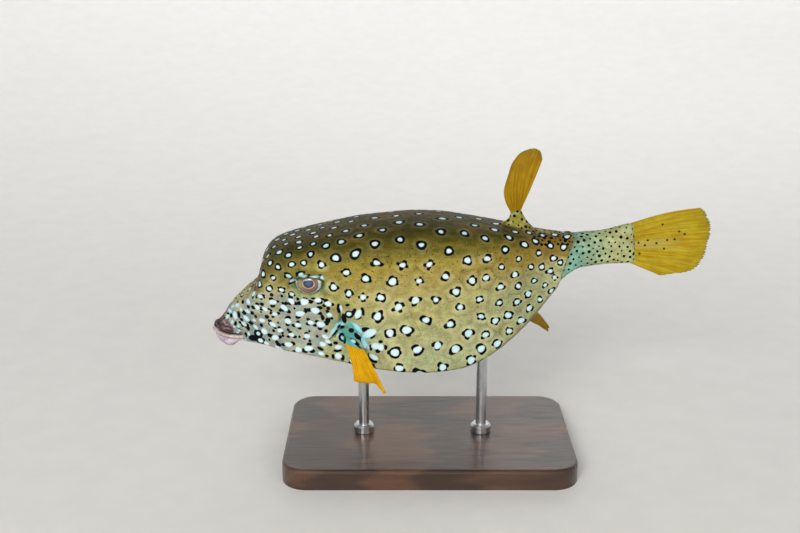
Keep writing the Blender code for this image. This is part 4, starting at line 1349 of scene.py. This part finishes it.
def skin_material():
    """The painted look of the skin, dry and slightly glossy."""
    m = Nodes("boxfish_skin")
    base = skin_ground(m)
    wander = m.math("MULTIPLY_ADD", m.noise(420, 2), 0.6, -0.3)
    white, black = (m.math("ADD", m.number(name), wander) for name in ("white", "black"))
    dots = m.math("ADD", m.number("dots"), m.times(wander, 0.6))
    blue = m.times(m.number("blue"), m.steps(m.noise(180, 2), 0.3, 0.6, 0.4, 1.0))
    spot = m.mix(blue, SPOT_WHITE, SPOT_BLUE)
    spot = m.mix(m.steps(white, 0.0, 0.55, 0.5, 0.0), spot, SPOT_EDGE)
    base = m.mix(m.steps(dots, -0.10, 0.10), base, SPOT_BLACK)
    base = m.mix(m.steps(black, -0.12, 0.12), base, SPOT_BLACK)
    base = m.mix(m.steps(white, -0.12, 0.14), base, spot)
    grain = m.bump(m.cells(1500), 0.00010, 0.5)
    pores = m.bump(m.noise(620, 4, 0.6), 0.00022, 0.55, grain)
    rough = m.steps(m.noise(900, 3), 0.3, 0.7, 0.42, 0.58)
    return m.finish(Base_Color=base, Roughness=rough, Normal=pores, Specular_IOR_Level=0.05, Coat_Weight=0.02,
                    Coat_Roughness=0.20)


def eye_material():
    """The clear and glossy look of the eyes."""
    m = Nodes("boxfish_eye")
    base = m.shade(m.colour("ground"), m.steps(m.noise(1200, 4), 0.3, 0.7, 0.82, 1.14))
    return m.finish(Base_Color=base, Roughness=0.30, Coat_Weight=1.0, Coat_Roughness=0.03, Coat_IOR=1.45,
                    Normal=m.bump(m.noise(1500, 3), 0.00006, 0.4))


def fin_material(name, colours, rim_from, dots=False):
    """Golden fin: darker and lighter strands along the rays, with an olive edge from rim_from outward."""
    m = Nodes(name)
    out = m.number("out")
    base = m.mix(m.steps(m.number("ray"), 0.15, 0.85), colours["web"], colours["ray"])
    base = m.shade(base, m.steps(m.noise(170, 4, 0.6), 0.32, 0.68, 0.86, 1.12))
    lie = m.add("ShaderNodeCombineXYZ", {"X": m.number("across"), "Y": m.times(out, 0.06)}).outputs[0]
    strands = m.add("ShaderNodeTexNoise", {"Vector": lie, "Scale": 38.0, "Detail": 3.0}).outputs["Fac"]
    base = m.mix(m.steps(strands, 0.36, 0.50, 0.50, 0.0), base, colours["dark"])
    base = m.mix(m.steps(strands, 0.52, 0.66, 0.0, 0.45), base, colours["light"])
    edge = m.math("ADD", out, m.math("MULTIPLY_ADD", m.noise(240, 3), 0.10, -0.05))
    base = m.mix(m.steps(edge, rim_from, 1.0, 0.0, 0.8), base, colours["rim"])
    if dots:
        base = tail_marks(m, base)
    rough = m.steps(m.noise(700, 3), 0.3, 0.7, 0.42, 0.58)
    return m.finish(Base_Color=base, Roughness=rough, Normal=m.bump(m.noise(1100, 3), 0.00008, 0.5),
                    Specular_IOR_Level=0.12)


def tail_marks(m, base):
    """The tail fin's pale middle, near its root, and its dark dots."""
    across = m.number("across")
    pale = m.times(m.steps(across, 0.40, 0.50), m.steps(across, 0.56, 0.66, 1.0, 0.0))
    base = m.mix(m.times(pale, m.steps(m.number("out"), 0.25, 0.80, 0.5, 0.0)), base, TAIL_PALE)
    return m.mix(m.steps(m.number("dots"), -0.1, 0.15), base, TAIL_DOT)


def wood_material():
    """Oiled walnut with its grain along the base."""
    m = Nodes("walnut")
    grain = m.noise(60, 6, 0.6, (0.12, 1.6, 1.0))
    rings = m.add("ShaderNodeTexWave", {"Vector": m.place((0.16, 1.0, 1.0)), "Scale": 26.0, "Distortion": 7.0,
                                        "Detail": 4.0, "Detail Scale": 1.6}).outputs["Fac"]
    base = m.mix(m.steps(rings, 0.2, 0.8), WALNUT, WALNUT_LIGHT)
    base = m.mix(m.steps(grain, 0.45, 0.65, 0.0, 0.55), base, WALNUT_GRAIN)
    pore = m.noise(900, 3, 0.6, (0.06, 1, 1))
    rough = m.steps(pore, 0.35, 0.65, 0.30, 0.46)
    return m.finish(Base_Color=base, Roughness=rough, Normal=m.bump(pore, 0.00012, 0.5), Coat_Weight=0.35,
                    Coat_Roughness=0.18)


def steel_material():
    """Brushed steel of the rods."""
    m = Nodes("brushed_steel")
    brush = m.noise(700, 3, 0.6, (1, 1, 0.05))
    rough = m.steps(brush, 0.3, 0.7, 0.24, 0.40)
    base = m.mix(m.steps(brush, 0.3, 0.7), STEEL, STEEL_LIGHT)
    return m.finish(Base_Color=base, Metallic=1.0, Roughness=rough, Normal=m.bump(brush, 0.00003, 0.5))


def floor_material():
    """The matt floor of the studio."""
    m = Nodes("studio_floor")
    tone = m.steps(m.noise(60, 3), 0.3, 0.7)
    return m.finish(Base_Color=m.mix(tone, STUDIO_GREY, STUDIO_WHITE), Roughness=0.75)


# The studio


def aim(obj, target):
    """Turns a camera or a light towards a target."""
    direction = Vector(target) - obj.location
    obj.rotation_euler = direction.to_track_quat("-Z", "Y").to_euler()


def make_camera():
    """The camera, at the photo's side of the fish."""
    camera = new_object("camera", bpy.data.cameras.new("camera"))
    camera.data.lens = CAMERA_LENS
    camera.data.sensor_width = CAMERA_SENSOR
    camera.data.clip_start = NEAREST_SEEN * MM
    target = Vector(CAMERA_TARGET) * MM
    back = Vector((0, -math.cos(CAMERA_ELEVATION), math.sin(CAMERA_ELEVATION)))
    camera.location = target + back * CAMERA_DISTANCE * MM
    aim(camera, target)
    bpy.context.scene.camera = camera


def area_light(name, place, size, power, colour=(1, 1, 1), target=STAGE_MIDDLE):
    """A soft rectangular light that faces a target."""
    light = bpy.data.lights.new(name, "AREA")
    light.shape = "RECTANGLE"
    light.size, light.size_y = size
    light.energy = power
    light.color = colour
    obj = new_object(name, light)
    obj.location = place
    aim(obj, target)


def make_floor(material):
    """A pale floor that curves up into a backdrop all round."""
    profile = [(0.15, 0.0), (0.3, 0.0)]
    for k in range(FLOOR_ARC_STEPS + 1):
        a = math.pi / 2 * k / FLOOR_ARC_STEPS
        profile.append((FLOOR_FLAT + FLOOR_CURVE * math.sin(a), FLOOR_CURVE * (1 - math.cos(a))))
    profile.append((FLOOR_FLAT + FLOOR_CURVE, FLOOR_HEIGHT))
    turns = range(FLOOR_TURNS)
    angles = [2 * math.pi * k / FLOOR_TURNS for k in turns]
    vertices = [(0.0, 0.0, 0.0)] + [(r * math.cos(a), r * math.sin(a), z) for r, z in profile for a in angles]
    faces = [(0, 1 + k, 1 + (k + 1) % FLOOR_TURNS) for k in turns]
    for start in range(1, 1 + (len(profile) - 1) * FLOOR_TURNS, FLOOR_TURNS):
        for k in turns:
            a, b = start + k, start + (k + 1) % FLOOR_TURNS
            faces.append((a, a + FLOOR_TURNS, b + FLOOR_TURNS, b))
    mesh = bpy.data.meshes.new("studio_floor")
    mesh.from_pydata(vertices, [], faces)
    mesh.shade_smooth()
    mesh.materials.append(material)
    new_object("studio_floor", mesh)


def make_lights():
    """Soft lights, a wide sun and a pale, dim sky."""
    for light in AREA_LIGHTS:
        area_light(**light)
    sun = bpy.data.lights.new("soft_sun", "SUN")
    sun.energy = SUN_POWER
    sun.angle = SUN_ANGLE
    lamp = new_object("soft_sun", sun)
    lamp.location = SUN_PLACE
    aim(lamp, STAGE_MIDDLE)
    world = bpy.data.worlds.new("studio_world")
    world.use_nodes = True
    background = world.node_tree.nodes["Background"]
    background.inputs["Color"].default_value = SKY_COLOUR
    background.inputs["Strength"].default_value = SKY_STRENGTH
    bpy.context.scene.world = world


def carry_over(node, material):
    """Gives a CAD node that stays visible its detailed material."""
    obj = bpy.data.objects[node]
    for slot in obj.material_slots:
        slot.material = material
    if not obj.material_slots:
        obj.data.materials.append(material)


def main():
    """Builds the studio, the fish and the stand."""
    make_camera()
    make_floor(floor_material())
    make_lights()
    make_skin(skin_material())
    glass = eye_material()
    make_eye("eye_left", -1, glass)
    make_eye("eye_right", 1, glass)
    amber = fin_material("fin_pectoral", PECTORAL_COLOURS, 0.92)
    gold = fin_material("fin_dorsal", DORSAL_COLOURS, 0.90)
    tail = fin_material("fin_caudal", CAUDAL_COLOURS, 0.93, dots=True)
    make_fin("dorsal_fin", DORSAL_FIN, fin_seat(DORSAL_ROOT), gold, DORSAL_SEED)
    make_fin("anal_fin", ANAL_FIN, fin_seat(ANAL_ROOT), gold, ANAL_SEED)
    make_fin("caudal_fin", CAUDAL_FIN, CAUDAL_SEAT, tail, CAUDAL_SEED, TAIL_DOTS)
    for side, word in ((-1, "left"), (1, "right")):
        root, fin = mirrored(PECTORAL_ROOT, side), mirrored(PECTORAL_FIN, side)
        make_fin("pectoral_fin_" + word, fin, fin_seat(root), amber, PECTORAL_SEED)
    carry_over("stand_base", wood_material())
    steel = steel_material()
    for rod in ("stand_rod_front", "stand_rod_rear"):
        carry_over(rod, steel)
    bpy.context.scene.view_settings.view_transform = "Standard"


main()
